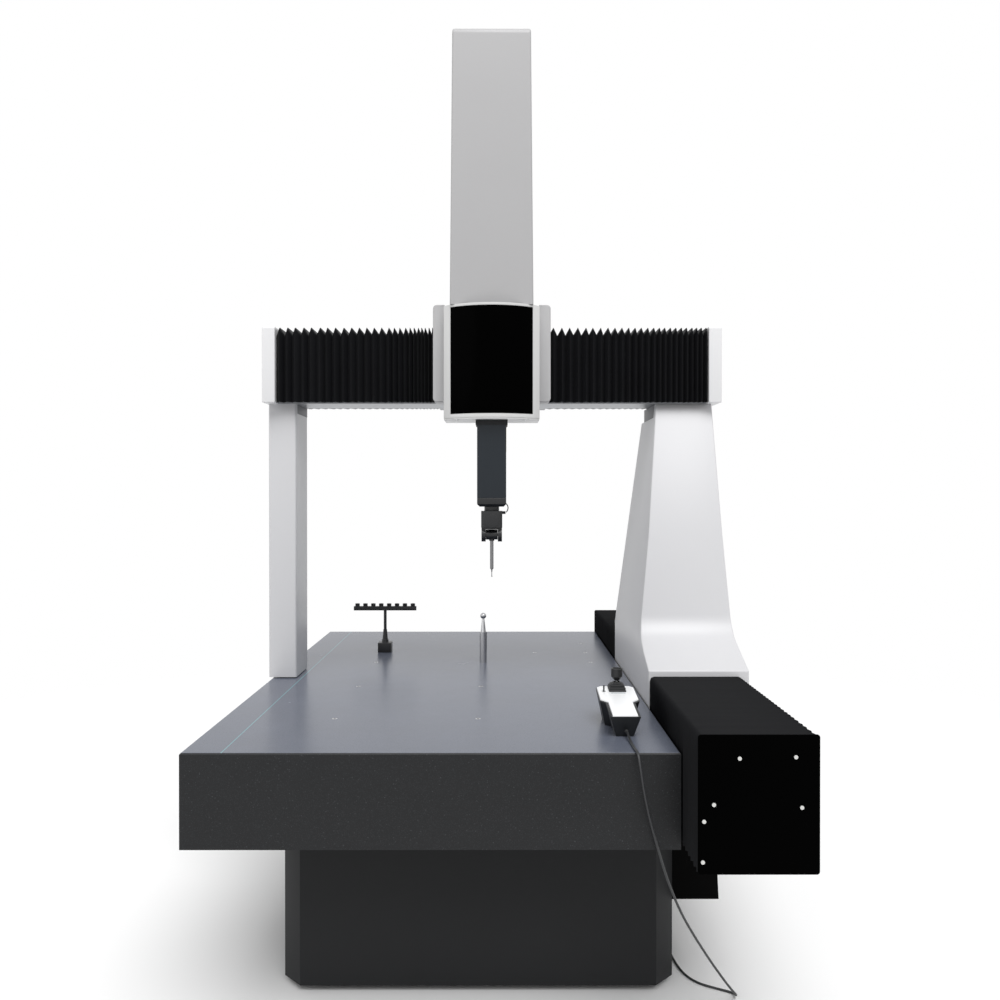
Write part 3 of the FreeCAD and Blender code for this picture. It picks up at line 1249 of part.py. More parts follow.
def cord_path(points):
    """Straight runs joined by tangent arcs, each as large as its two runs allow."""
    edges = []
    last = points[0]
    radii = []
    for before, corner, after in zip(points, points[1:], points[2:]):
        into = (before - corner)
        out = (after - corner)
        run = min(into.Length, out.Length)
        into.normalize()
        out.normalize()
        half_turn = (math.pi - into.getAngle(out)) / 2
        reach = 0.45 * run
        radius = reach / math.tan(half_turn)
        middle_way = (into + out).normalize()
        centre = corner + middle_way * (radius / math.cos(half_turn))
        first, end = corner + into * reach, corner + out * reach
        edges.append(Part.LineSegment(last, first).toShape())
        edges.append(Part.Arc(first, centre - middle_way * radius, end).toShape())
        radii.append(round(radius, 1))
        last = end
    edges.append(Part.LineSegment(last, points[-1]).toShape())
    print("cord radii", radii)
    return Part.Wire(edges)


def make_cord():
    """Cord, its gland on the pendant, its plug and the socket on the base."""
    points = cord_points()
    path = cord_path(points)
    direction = (points[1] - points[0]).normalize()
    section = Part.Wire([Part.Circle(points[0], direction, n.cord_radius).toShape()])
    tube = path.makePipeShell([section], True, True)
    expected = math.pi * n.cord_radius ** 2 * path.Length
    print("cord length", round(path.Length, 1), "volume ratio", round(tube.Volume / expected, 4))
    if abs(tube.Volume / expected - 1) > 0.01:
        raise RuntimeError("the cord's volume doesn't match its length")
    node("pendant_cord", shaped(tube))
    gland = Part.makeCone(n.gland_radius, n.cord_radius + 1, n.gland_length + 6,
                          points[0] - direction * (n.gland_length + 6), direction)
    node("pendant_gland", shaped(gland))
    reach = ("base_right + socket_length", "plug_y", "plug_height")
    node("pendant_plug", rod(reach, "plug_radius", "plug_length", "x"))
    node("base_socket", rod(("base_right", "plug_y", "plug_height"), "socket_radius",
                            "socket_length", "x"))


# ---------------------------------------------------------------- whole machine

def build():
    """Make every sub-part."""
    fill_sheet()
    for step in (make_base, make_feet, make_support_pads, make_table, make_inserts, make_guide,
                 make_y_cover, make_left_leg, make_right_leg, make_leg_pads,
                 make_bridge_bearings, make_y_drive, make_beam, make_x_covers, make_frame,
                 make_carriage_bearings, make_x_drive, make_wings, make_front_cover, make_bottom_plate,
                 make_rear_cover, make_tower, make_counterbalance, make_z_drive, make_ram,
                 make_head, make_head_cable, make_rotor, make_knuckle, make_probe, make_rack,
                 make_sphere, make_pendant, make_joystick, make_toggle, make_cord):
        step()
    doc.recompute()


def check():
    """Stop on any failed object or unsound shape."""
    for thing in doc.Objects:
        if {"Invalid", "Error"} & set(thing.State):
            raise RuntimeError(f"{thing.Name} ({thing.Label}) failed: {thing.State}")
    for thing in nodes:
        if thing.Shape.isNull() or not thing.Shape.isValid() or not thing.Shape.Solids:
            raise RuntimeError(f"{thing.Label} has no sound solid")


def export():
    """Write one STEP file for each sub-part."""
    os.makedirs("parts", exist_ok=True)
    for thing in nodes:
        thing.Shape.exportStep(f"parts/{thing.Label}.step")
    print(len(nodes), "sub-parts written")


build()
check()
export()
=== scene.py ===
import json
import math
import random

import bpy
from bpy.props import FloatProperty, FloatVectorProperty, IntProperty, PointerProperty
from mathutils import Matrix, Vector


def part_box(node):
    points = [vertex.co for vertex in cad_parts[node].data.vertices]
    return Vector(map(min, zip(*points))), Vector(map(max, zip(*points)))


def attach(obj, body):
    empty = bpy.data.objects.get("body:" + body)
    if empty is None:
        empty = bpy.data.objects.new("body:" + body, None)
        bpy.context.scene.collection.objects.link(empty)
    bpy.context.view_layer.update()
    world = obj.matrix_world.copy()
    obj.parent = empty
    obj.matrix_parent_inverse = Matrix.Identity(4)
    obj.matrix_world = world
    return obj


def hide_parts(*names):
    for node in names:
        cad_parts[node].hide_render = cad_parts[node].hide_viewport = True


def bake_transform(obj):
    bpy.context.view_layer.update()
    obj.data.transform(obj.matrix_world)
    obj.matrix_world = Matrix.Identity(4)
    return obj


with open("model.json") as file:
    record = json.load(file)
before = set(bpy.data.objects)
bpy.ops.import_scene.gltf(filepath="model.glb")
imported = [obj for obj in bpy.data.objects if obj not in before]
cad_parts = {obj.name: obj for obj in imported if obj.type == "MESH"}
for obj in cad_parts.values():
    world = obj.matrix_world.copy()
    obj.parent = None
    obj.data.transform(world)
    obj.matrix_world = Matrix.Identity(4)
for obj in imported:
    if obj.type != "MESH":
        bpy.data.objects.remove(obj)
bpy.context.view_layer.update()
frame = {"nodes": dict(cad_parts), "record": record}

bl_info = {
    "name": "Bridge Measuring Machine",
    "version": (1, 0, 0),
    "blender": (4, 5, 0),
    "location": "3D View > Sidebar > Machine",
    "description": "Dresses a bridge measuring machine: finishes, pleated covers, cord and stage",
    "category": "Object",
}

NODES = frame["nodes"]
BODY_OF = {}
for body_name, body_nodes in frame["record"]["behaviour"]["bodies"].items():
    for node_name in body_nodes:
        BODY_OF[node_name] = body_name


# ------------------------------------------------------------------ settings

class MachineSizes(bpy.types.PropertyGroup):
    """Sizes of the dressed pieces that a user would change."""
    pleat_depth: FloatProperty(name="Pleat depth",
                               description="How far a ridge stands out of a valley",
                               default=0.025, min=0.005, max=0.06, unit="LENGTH")
    beam_pleats: IntProperty(name="Beam pleats", description="Ridges on each cover of the beam",
                             default=25, min=5, max=60)
    guide_pleats_front: IntProperty(name="Front guide pleats",
                                    description="Ridges on the side guide's front cover",
                                    default=26, min=5, max=80)
    guide_pleats_rear: IntProperty(name="Rear guide pleats",
                                   description="Ridges on the side guide's rear cover",
                                   default=30, min=5, max=80)
    cover_wall: FloatProperty(name="Cover cloth", description="Thickness of the pleated covers",
                              default=0.0012, min=0.0004, max=0.004, unit="LENGTH")
    cord_diameter: FloatProperty(name="Cord diameter", description="Diameter of the pendant's cord",
                                 default=0.007, min=0.003, max=0.02, unit="LENGTH")
    edge_round: FloatProperty(name="Edge rounding", description="Rounding of sheet metal edges",
                              default=0.003, min=0.0005, max=0.01, unit="LENGTH")


class MachineColours(bpy.types.PropertyGroup):
    """Colours of the machine's main finishes."""
    granite: FloatVectorProperty(name="Granite", description="Ground tone of the granite",
                                 subtype="COLOR", size=3, default=(0.0135, 0.0140, 0.0150),
                                 min=0, max=1)
    # tone of the working face, painted paler and bluer than the stone as painted reflection of the
    # bright room
    granite_top_painted_reflection: FloatVectorProperty(name="Granite face", description="Tone of the lapped face",
                                     subtype="COLOR", size=3, default=(0.118, 0.131, 0.168),
                                     min=0, max=1)
    base: FloatVectorProperty(name="Base", description="Paint of the welded base", subtype="COLOR",
                              size=3, default=(0.015, 0.0155, 0.0165), min=0, max=1)
    legs: FloatVectorProperty(name="Legs", description="Paint of the bridge's legs",
                              subtype="COLOR", size=3, default=(0.60, 0.60, 0.615), min=0, max=1)
    caps: FloatVectorProperty(name="End caps", description="Paint of the beam's end caps",
                              subtype="COLOR", size=3, default=(0.80, 0.80, 0.81), min=0, max=1)
    covers: FloatVectorProperty(name="Covers", description="Paint of the tower and side covers",
                                subtype="COLOR", size=3, default=(0.475, 0.472, 0.478),
                                min=0, max=1)
    bellows: FloatVectorProperty(name="Pleated covers", description="Coated cloth of the covers",
                                 subtype="COLOR", size=3, default=(0.0040, 0.0042, 0.0052), min=0,
                                 max=1)
    ram: FloatVectorProperty(name="Ram", description="Hard coat of the vertical ram",
                             subtype="COLOR", size=3, default=(0.015, 0.020, 0.026), min=0, max=1)


def sizes():
    """Sizes of the dressed pieces."""
    return bpy.context.scene.machine_sizes


def colours():
    """Colours of the main finishes."""
    return bpy.context.scene.machine_colours


# ------------------------------------------------------------------ shader helpers

def wire(tree, source, target):
    """Link two sockets."""
    tree.links.new(source, target)


def add(tree, kind, **values):
    """Add a shader node and set its attributes."""
    made = tree.nodes.new(kind)
    for key, value in values.items():
        setattr(made, key, value)
    return made


def put(node, **values):
    """Set a node's inputs, named with underscores for spaces."""
    for key, value in values.items():
        node.inputs[key.replace("_", " ")].default_value = value
    return node


def new_group(name, inputs, outputs):
    """Empty shader node group with named sockets."""
    group = bpy.data.node_groups.new(name, "ShaderNodeTree")
    for label, kind, value in inputs:
        socket = group.interface.new_socket(label, in_out="INPUT", socket_type=kind)
        if value is not None:
            socket.default_value = value
    for label, kind in outputs:
        group.interface.new_socket(label, in_out="OUTPUT", socket_type=kind)
    entry = group.nodes.new("NodeGroupInput")
    leave = group.nodes.new("NodeGroupOutput")
    return group, entry, leave


FLOAT, COLOUR, VECTOR = "NodeSocketFloat", "NodeSocketColor", "NodeSocketVector"


def tone_group():
    """Slow drift and fine grain over a colour, with a roughness and a height to match."""
    name = "tone_and_grain"
    if name in bpy.data.node_groups:
        return bpy.data.node_groups[name]
    group, entry, leave = new_group(
        name,
        [("Vector", VECTOR, None), ("Colour", COLOUR, (0.5, 0.5, 0.5, 1)),
         ("Drift scale", FLOAT, 3.0), ("Drift", FLOAT, 0.06), ("Grain scale", FLOAT, 400.0),
         ("Grain", FLOAT, 0.05), ("Roughness", FLOAT, 0.4), ("Roughness drift", FLOAT, 0.06)],
        [("Colour", COLOUR), ("Roughness", FLOAT), ("Height", FLOAT)])
    drift = put(add(group, "ShaderNodeTexNoise"), Detail=3.0, Roughness=0.55)
    grain = put(add(group, "ShaderNodeTexNoise"), Detail=2.0, Roughness=0.6)
    for node, scale in ((drift, "Drift scale"), (grain, "Grain scale")):
        wire(group, entry.outputs["Vector"], node.inputs["Vector"])
        wire(group, entry.outputs[scale], node.inputs["Scale"])

    def swing(source, amount):
        centred = add(group, "ShaderNodeMath", operation="SUBTRACT")
        centred.inputs[1].default_value = 0.5
        wire(group, source.outputs["Fac"], centred.inputs[0])
        scaled = add(group, "ShaderNodeMath", operation="MULTIPLY")
        wire(group, centred.outputs[0], scaled.inputs[0])
        wire(group, entry.outputs[amount], scaled.inputs[1])
        return scaled
    total = add(group, "ShaderNodeMath", operation="ADD")
    wire(group, swing(drift, "Drift").outputs[0], total.inputs[0])
    wire(group, swing(grain, "Grain").outputs[0], total.inputs[1])
    gain = add(group, "ShaderNodeMath", operation="MULTIPLY_ADD")
    gain.inputs[1].default_value = 2.0
    gain.inputs[2].default_value = 1.0
    wire(group, total.outputs[0], gain.inputs[0])
    shade = add(group, "ShaderNodeVectorMath", operation="SCALE")
    wire(group, entry.outputs["Colour"], shade.inputs[0])
    wire(group, gain.outputs[0], shade.inputs["Scale"])
    wire(group, shade.outputs[0], leave.inputs["Colour"])
    rough = add(group, "ShaderNodeMath", operation="ADD")
    wire(group, swing(drift, "Roughness drift").outputs[0], rough.inputs[0])
    wire(group, entry.outputs["Roughness"], rough.inputs[1])
    wire(group, rough.outputs[0], leave.inputs["Roughness"])
    wire(group, grain.outputs["Fac"], leave.inputs["Height"])
    return group


def speckle_group():
    """Scattered crystals: a mask that is 1 on small irregular cells."""
    name = "crystal_speckle"
    if name in bpy.data.node_groups:
        return bpy.data.node_groups[name]
    group, entry, leave = new_group(
        name, [("Vector", VECTOR, None), ("Scale", FLOAT, 600.0), ("Share", FLOAT, 0.2)],
        [("Mask", FLOAT)])
    cells = add(group, "ShaderNodeTexVoronoi", feature="F1")
    wire(group, entry.outputs["Vector"], cells.inputs["Vector"])
    wire(group, entry.outputs["Scale"], cells.inputs["Scale"])
    parts = add(group, "ShaderNodeSeparateColor")
    wire(group, cells.outputs["Color"], parts.inputs[0])
    chosen = add(group, "ShaderNodeMath", operation="LESS_THAN")
    wire(group, parts.outputs[0], chosen.inputs[0])
    wire(group, entry.outputs["Share"], chosen.inputs[1])
    near = add(group, "ShaderNodeMath", operation="SUBTRACT")
    near.inputs[0].default_value = 1.0
    wire(group, cells.outputs["Distance"], near.inputs[1])
    mask = add(group, "ShaderNodeMath", operation="MULTIPLY")
    wire(group, chosen.outputs[0], mask.inputs[0])
    wire(group, near.outputs[0], mask.inputs[1])
    wire(group, mask.outputs[0], leave.inputs["Mask"])
    return group


def place_group(tree, group, **values):
    """Place a node group in a tree, with values for its inputs."""
    node = tree.nodes.new("ShaderNodeGroup")
    node.node_tree = group
    return put(node, **values)


def painted(name, colour, rough=0.4, drift=0.05, drift_scale=2.5, grain=0.03, grain_scale=500.0,
            bump=0.05, metallic=0.0, coat=0.0, specular=0.5, stretch=(1, 1, 1)):
    """Principled material over the shared tone and grain group."""
    material = bpy.data.materials.new("finish_" + name)
    material.use_nodes = True
    tree = material.node_tree
    shader = tree.nodes["Principled BSDF"]
    shader.inputs["Metallic"].default_value = metallic
    shader.inputs["Coat Weight"].default_value = coat
    shader.inputs["Coat Roughness"].default_value = 0.08
    shader.inputs["Specular IOR Level"].default_value = specular
    where = add(tree, "ShaderNodeTexCoord")
    mapping = add(tree, "ShaderNodeMapping")
    mapping.inputs["Scale"].default_value = stretch
    wire(tree, where.outputs["Object"], mapping.inputs["Vector"])
    tone = place_group(tree, tone_group(), Colour=(*colour, 1), Drift_scale=drift_scale,
                       Drift=drift, Grain_scale=grain_scale, Grain=grain, Roughness=rough)
    wire(tree, mapping.outputs["Vector"], tone.inputs["Vector"])
    wire(tree, tone.outputs["Colour"], shader.inputs["Base Color"])
    wire(tree, tone.outputs["Roughness"], shader.inputs["Roughness"])
    relief = add(tree, "ShaderNodeBump")
    relief.inputs["Strength"].default_value = bump
    relief.inputs["Distance"].default_value = 0.0004
    wire(tree, tone.outputs["Height"], relief.inputs["Height"])
    wire(tree, relief.outputs["Normal"], shader.inputs["Normal"])
    return material


# ------------------------------------------------------------------ finishes

# scale, share of the cells, colour and strength of each kind of crystal
CRYSTALS = ((700.0, 0.12, (0.085, 0.09, 0.10), 0.28),
            (1100.0, 0.2, (0.006, 0.006, 0.007), 0.5),
            (380.0, 0.012, (0.15, 0.155, 0.17), 0.25))
SIDE_ROUGHNESS, FACE_ROUGHNESS = 0.42, 0.26
FACE_DEPTH = 0.0006
LINE_FROM_LEG, LINE_HALF_WIDTH, LINE_STRENGTH = 0.018, 0.0016, 0.6
LINE_COLOUR = (0.16, 0.42, 0.45)


def granite():
    """Dark granite: lapped working face painted paler and bluer than the darker sawn sides, as
    painted reflection of the bright room; fine crystals throughout.
    """
    material = painted("honed_granite", colours().granite, rough=0.3, drift=0.12, drift_scale=6.0,
                       grain=0.08, grain_scale=260.0, bump=0.02, specular=0.22)
    tree = material.node_tree
    shader = tree.nodes["Principled BSDF"]
    tone = next(n for n in tree.nodes if n.type == "GROUP")
    where = next(n for n in tree.nodes if n.type == "TEX_COORD")
    on_top = above(tree, where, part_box("granite_table")[1].z - FACE_DEPTH)
    # the working face gets the paler tone: painted reflection of the bright room over the dark
    # stone
    ground = add(tree, "ShaderNodeMix", data_type="RGBA")
    ground.inputs["A"].default_value = (*colours().granite, 1)
    ground.inputs["B"].default_value = (*colours().granite_top_painted_reflection, 1)
    wire(tree, on_top.outputs[0], ground.inputs["Factor"])
    wire(tree, ground.outputs["Result"], tone.inputs["Colour"])
    sheen = add(tree, "ShaderNodeMapRange")
    put(sheen, To_Min=SIDE_ROUGHNESS, To_Max=FACE_ROUGHNESS)
    wire(tree, on_top.outputs[0], sheen.inputs["Value"])
    wire(tree, sheen.outputs["Result"], tone.inputs["Roughness"])
    colour = tone.outputs["Colour"]
    for scale, share, crystal, strength in CRYSTALS:
        dots = place_group(tree, speckle_group(), Scale=scale, Share=share)
        wire(tree, where.outputs["Object"], dots.inputs["Vector"])
        amount = add(tree, "ShaderNodeMath", operation="MULTIPLY")
        amount.inputs[1].default_value = strength
        wire(tree, dots.outputs["Mask"], amount.inputs[0])
        colour = blended(tree, amount.outputs[0], colour, crystal)
    wire(tree, drawn_line(tree, where, on_top, colour), shader.inputs["Base Color"])
    return material


def above(tree, where, height):
    """Mask that is 1 above a height."""
    parts = add(tree, "ShaderNodeSeparateXYZ")
    wire(tree, where.outputs["Object"], parts.inputs[0])
    mask = add(tree, "ShaderNodeMath", operation="GREATER_THAN")
    mask.inputs[1].default_value = height
    wire(tree, parts.outputs["Z"], mask.inputs[0])
    return mask


def blended(tree, factor, under, over):
    """Lay a plain colour over a colour socket by a factor socket."""
    mix = add(tree, "ShaderNodeMix", data_type="RGBA")
    mix.inputs["B"].default_value = (*over, 1)
    wire(tree, factor, mix.inputs["Factor"])
    wire(tree, under, mix.inputs["A"])
    return mix.outputs["Result"]


def drawn_line(tree, where, on_top, colour):
    """Faint teal line drawn along the working face beside the left leg's track."""
    parts = add(tree, "ShaderNodeSeparateXYZ")
    wire(tree, where.outputs["Object"], parts.inputs[0])
    offset = add(tree, "ShaderNodeMath", operation="SUBTRACT")
    wire(tree, parts.outputs["X"], offset.inputs[0])
    offset.inputs[1].default_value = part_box("left_leg")[1].x + LINE_FROM_LEG
    distance = add(tree, "ShaderNodeMath", operation="ABSOLUTE")
    wire(tree, offset.outputs[0], distance.inputs[0])
    on_line = add(tree, "ShaderNodeMath", operation="LESS_THAN")
    on_line.inputs[1].default_value = LINE_HALF_WIDTH
    wire(tree, distance.outputs[0], on_line.inputs[0])
    both = add(tree, "ShaderNodeMath", operation="MULTIPLY")
    wire(tree, on_line.outputs[0], both.inputs[0])
    wire(tree, on_top.outputs[0], both.inputs[1])
    faint = add(tree, "ShaderNodeMath", operation="MULTIPLY")
    wire(tree, both.outputs[0], faint.inputs[0])
    faint.inputs[1].default_value = LINE_STRENGTH
    return blended(tree, faint.outputs[0], colour, LINE_COLOUR)


def coated_cloth():
    """Near-black coated cloth of the pleated covers, with a fine weave."""
    material = painted("coated_cloth", colours().bellows, rough=0.55, drift=0.25,
                       drift_scale=12.0, grain=0.12, grain_scale=220.0, bump=0.05, specular=0.10)
    tree = material.node_tree
    shader = tree.nodes["Principled BSDF"]
    where = next(n for n in tree.nodes if n.type == "TEX_COORD")
    relief = next(n for n in tree.nodes if n.type == "BUMP")
    waves = []
    for direction in ("X", "Z"):
        wave = put(add(tree, "ShaderNodeTexWave", bands_direction=direction), Scale=260.0)
        wire(tree, where.outputs["Object"], wave.inputs["Vector"])
        waves.append(wave)
    weave = add(tree, "ShaderNodeMath", operation="ADD")
    wire(tree, waves[0].outputs["Fac"], weave.inputs[0])
    wire(tree, waves[1].outputs["Fac"], weave.inputs[1])
    wire(tree, weave.outputs[0], relief.inputs["Height"])
    relief.inputs["Strength"].default_value = 0.12
    shader.inputs["Sheen Weight"].default_value = 0.02
    shader.inputs["Sheen Roughness"].default_value = 0.5
    return material


FINISHES = {
    "granite": granite,
    "cloth": coated_cloth,
    "base": lambda: painted("base_paint", colours().base, rough=0.5, drift=0.10, drift_scale=4.0,
                            grain=0.10, grain_scale=350.0, bump=0.25, specular=0.16),
    "console": lambda: painted("console_paint", (0.0014, 0.0013, 0.0013), rough=0.6, grain=0.1,
                               bump=0.2, specular=0.03),
    "legs": lambda: painted("leg_paint", colours().legs, rough=0.38, drift=0.02, bump=0.06),
    "caps": lambda: painted("cap_paint", colours().caps, rough=0.35, drift=0.02, bump=0.05),
    "covers": lambda: painted("cover_paint", colours().covers, rough=0.42, drift=0.025, bump=0.08),
    "frame_white": lambda: painted("front_cover_white", (0.66, 0.66, 0.655), rough=0.3, drift=0.02,
                                   bump=0.03, coat=0.2),
    "gloss_black": lambda: painted("gloss_black", (0.0003, 0.0003, 0.0003), rough=0.2, drift=0.0,
                                   grain=0.0, bump=0.0, specular=0.01),
    "black_sheet": lambda: painted("black_sheet", (0.0004, 0.0004, 0.0004), rough=0.5, drift=0.1,
                                   bump=0.1, specular=0.01),
    "machined": lambda: painted("machined_aluminium", (0.36, 0.37, 0.39), rough=0.38, metallic=0.85,
                                drift=0.06, grain=0.08, grain_scale=300.0, bump=0.05,
                                stretch=(0.1, 1, 1)),
    "ram": lambda: painted("ram_coat", colours().ram, rough=0.36, drift=0.08, drift_scale=6.0,
                           grain=0.10, grain_scale=500.0, bump=0.06, specular=0.30,
                           stretch=(1, 1, 0.03)),
    "steel": lambda: painted("ground_steel", (0.52, 0.52, 0.53), rough=0.24, metallic=1.0,
                             drift=0.05, grain=0.08, grain_scale=700.0, bump=0.05,
                             stretch=(1, 1, 0.1)),
    "tape": lambda: painted("scale_tape", (0.55, 0.48, 0.30), rough=0.3, metallic=0.9,
                            grain=0.2, grain_scale=1500.0, bump=0.05),
    "dark_metal": lambda: painted("dark_metal", (0.016, 0.017, 0.019), rough=0.42, drift=0.1,
                                  grain=0.08, bump=0.1, specular=0.4),
    "head_case": lambda: painted("head_case", (0.006, 0.0068, 0.008), rough=0.36, drift=0.08,
                                 grain=0.06, grain_scale=900.0, bump=0.12),
    "probe": lambda: painted("probe_satin", (0.20, 0.20, 0.205), rough=0.3, metallic=0.8,
                             grain=0.1, grain_scale=900.0, bump=0.04, stretch=(1, 1, 0.1)),
    "ceramic": lambda: painted("white_ceramic", (0.62, 0.62, 0.60), rough=0.2, drift=0.02,
                               grain=0.02, bump=0.0, coat=0.3),
    "shell_dark": lambda: painted("pendant_shell_plastic", (0.006, 0.0068, 0.0078), rough=0.42,
                                  grain=0.1, grain_scale=1200.0, bump=0.3),
    "plate_pale": lambda: painted("pendant_plate_plastic", (0.86, 0.87, 0.88), rough=0.36,
                                  drift=0.015, grain=0.02, grain_scale=1200.0, bump=0.06),
    "strip_grey": lambda: painted("pendant_strip", (0.45, 0.48, 0.50), rough=0.4, bump=0.05),
    "rubber": lambda: painted("black_rubber", (0.008, 0.0085, 0.0095), rough=0.6, grain=0.12,
                              grain_scale=900.0, bump=0.2, specular=0.35),
    "knob": lambda: painted("knob_plastic", (0.007, 0.0075, 0.0085), rough=0.42, grain=0.08,
                            grain_scale=1100.0, bump=0.12),
    "cable": lambda: painted("cable_jacket", (0.022, 0.023, 0.025), rough=0.45, grain=0.1,
                             grain_scale=800.0, bump=0.1),
    "rack": lambda: painted("rack_anodised", (0.010, 0.0105, 0.012), rough=0.38, grain=0.08,
                            bump=0.05, specular=0.45),
    "pad": lambda: painted("dark_pad", (0.17, 0.172, 0.18), rough=0.55, drift=0.1, bump=0.1),
}
MADE_FINISHES = {}


def finish(name):
    """Material of a finish, made on first use."""
    if name not in MADE_FINISHES:
        MADE_FINISHES[name] = FINISHES[name]()
    return MADE_FINISHES[name]


def paint(obj, name):
    """Give an object one finish all over."""
    obj.data.materials.clear()
    obj.data.materials.append(finish(name))
    return obj


NODE_FINISH = {
    "base_cabinet": "base", "levelling_feet": "dark_metal", "table_support_pads": "rubber",
    "granite_table": "granite", "table_inserts": "steel", "guide_console": "console",
    "y_guide_beam": "machined", "y_scale": "tape", "y_cover_end_plates": "black_sheet",
    "cover_plate_screws": "ceramic", "y_bellows_front": "cloth", "y_bellows_rear": "cloth",
    "stylus_rack_base": "rack", "stylus_rack_post": "rack", "stylus_rack_bar": "rack",
    "sphere_column": "steel", "reference_sphere": "steel", "pendant_shell": "shell_dark",
    "pendant_top_plate": "plate_pale", "joystick_boot": "rubber", "pendant_gland": "rubber",
    "pendant_cord": "cable", "pendant_plug": "rubber", "base_socket": "dark_metal",
    "left_leg": "legs", "right_leg": "legs", "leg_top_pads": "pad",
    "bridge_air_bearings": "machined", "y_drive_unit": "dark_metal", "x_beam": "machined",
    "x_scale": "tape", "beam_end_caps": "caps", "x_bellows_left": "cloth",
    "x_bellows_right": "cloth", "carriage_frame": "machined", "carriage_air_bearings": "machined",
    "x_drive_unit": "dark_metal", "carriage_side_covers": "covers",
    "carriage_front_cover": "frame_white", "carriage_front_panel": "gloss_black",
    "carriage_bottom_plate": "frame_white", "ram_wiper": "rubber", "carriage_rear_cover": "covers",
    "tower_cover": "covers", "counterbalance_rod": "steel", "z_drive_unit": "dark_metal",
    "z_ram": "ram", "ram_top_gland": "steel", "z_scale": "tape", "ram_end_cap": "head_case",
    "head_body": "head_case", "head_cable": "rubber", "head_rotor": "head_case",
    "head_knuckle": "head_case", "probe_body": "probe", "stylus": "probe",
    "joystick_gimbal": "steel", "joystick_lever": "steel", "joystick_knob": "knob",
    "pendant_toggle": "knob",
}


# ------------------------------------------------------------------ modelling helpers

LEAST_RADIUS = 1e-4
WELD_DISTANCE = 1e-5
FLAT_ANGLE = math.radians(0.8)

def only(obj):
    """Select one object and make it active."""
    bpy.ops.object.select_all(action="DESELECT")
    obj.select_set(True)
    bpy.context.view_layer.objects.active = obj
    return obj


def settle(obj):
    """Move the object's place, turn and scale into its mesh."""
    only(obj)
    bpy.ops.object.transform_apply(location=True, rotation=True, scale=True)
    return obj


def pick(obj, kind, test):
    """Enter edit mode with only the vertices, edges or faces that pass a test selected."""
    only(obj)
    bpy.ops.object.mode_set(mode="EDIT")
    bpy.ops.mesh.select_mode(type=kind)
    bpy.ops.mesh.select_all(action="DESELECT")
    bpy.ops.object.mode_set(mode="OBJECT")
    mesh = obj.data
    if kind == "FACE":
        for face in mesh.polygons:
            face.select = test(face.center, face.normal)
    elif kind == "VERT":
        for vertex in mesh.vertices:
            vertex.select = test(vertex.co)
    else:
        for edge in mesh.edges:
            ends = [mesh.vertices[i].co for i in edge.vertices]
            edge.select = test(ends[0], ends[1])
    bpy.ops.object.mode_set(mode="EDIT")


def leave_edit():
    """Back to object mode."""
    bpy.ops.object.mode_set(mode="OBJECT")


def modify(obj, kind, **settings):
    """Add a modifier and apply it."""
    only(obj)
    made = obj.modifiers.new(kind.lower(), kind)
    for key, value in settings.items():
        setattr(made, key, value)
    bpy.ops.object.modifier_apply(modifier=made.name)
    return obj


def smooth(obj, angle=35.0):
    """Shade smooth below an angle."""
    only(obj)
    bpy.ops.object.shade_smooth_by_angle(angle=math.radians(angle))
    return obj


def block(name, low, high):
    """Box between two corners."""
    low, high = Vector(low), Vector(high)
    bpy.ops.object.select_all(action="DESELECT")
    bpy.ops.mesh.primitive_cube_add(size=1, location=(low + high) / 2)
    obj = bpy.context.object
    obj.name = obj.data.name = name
    obj.scale = high - low
    return settle(obj)


def turned(name, centre, profile, axis="Z", sides=48):
    """Round piece spun from a profile of (radius, station) pairs about an axis."""
    bpy.ops.object.select_all(action="DESELECT")
    bpy.ops.mesh.primitive_circle_add(vertices=sides, radius=max(profile[0][0], LEAST_RADIUS),
                                      fill_type="NGON", location=(0, 0, profile[0][1]))
    obj = bpy.context.object
    obj.name = obj.data.name = name
    settle(obj)
    only(obj)
    bpy.ops.object.mode_set(mode="EDIT")
    bpy.ops.mesh.select_all(action="SELECT")
    bpy.ops.mesh.flip_normals()
    radius, station = max(profile[0][0], LEAST_RADIUS), profile[0][1]
    for new_radius, new_station in profile[1:]:
        new_radius = max(new_radius, LEAST_RADIUS)
        bpy.ops.mesh.extrude_region_move(
            TRANSFORM_OT_translate={"value": (0, 0, new_station - station)})
        factor = new_radius / radius
        bpy.ops.transform.resize(value=(factor, factor, 1), center_override=(0, 0, new_station))
        radius, station = new_radius, new_station
    bpy.ops.mesh.select_all(action="SELECT")
    bpy.ops.mesh.normals_make_consistent(inside=False)
    leave_edit()
    obj.rotation_mode = "XYZ"
    obj.rotation_euler = {"Z": (0, 0, 0), "X": (0, math.pi / 2, 0),
                          "Y": (-math.pi / 2, 0, 0)}[axis]
    obj.location = centre
    return smooth(settle(obj))


def softened(node, width, segments=3, angle=40.0):
    """Copy of a rigid node with rounded edges, which stands for it."""
    source = NODES[node]
    obj = source.copy()
    obj.data = source.data.copy()
    obj.name = obj.data.name = node + "_rounded"
    bpy.context.collection.objects.link(obj)
    obj.parent = None
    for key in list(obj.keys()):
        if key.startswith("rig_"):
            del obj[key]
    only(obj)
    bpy.ops.object.mode_set(mode="EDIT")
    bpy.ops.mesh.select_all(action="SELECT")
    bpy.ops.mesh.remove_doubles(threshold=WELD_DISTANCE)
    bpy.ops.mesh.dissolve_limited(angle_limit=FLAT_ANGLE)
    leave_edit()
    modify(obj, "BEVEL", width=width, segments=segments, limit_method="ANGLE",
           angle_limit=math.radians(angle), use_clamp_overlap=True, harden_normals=False)
    smooth(obj, 30.0)
    paint(obj, NODE_FINISH[node])
    return stand_for(obj, node)


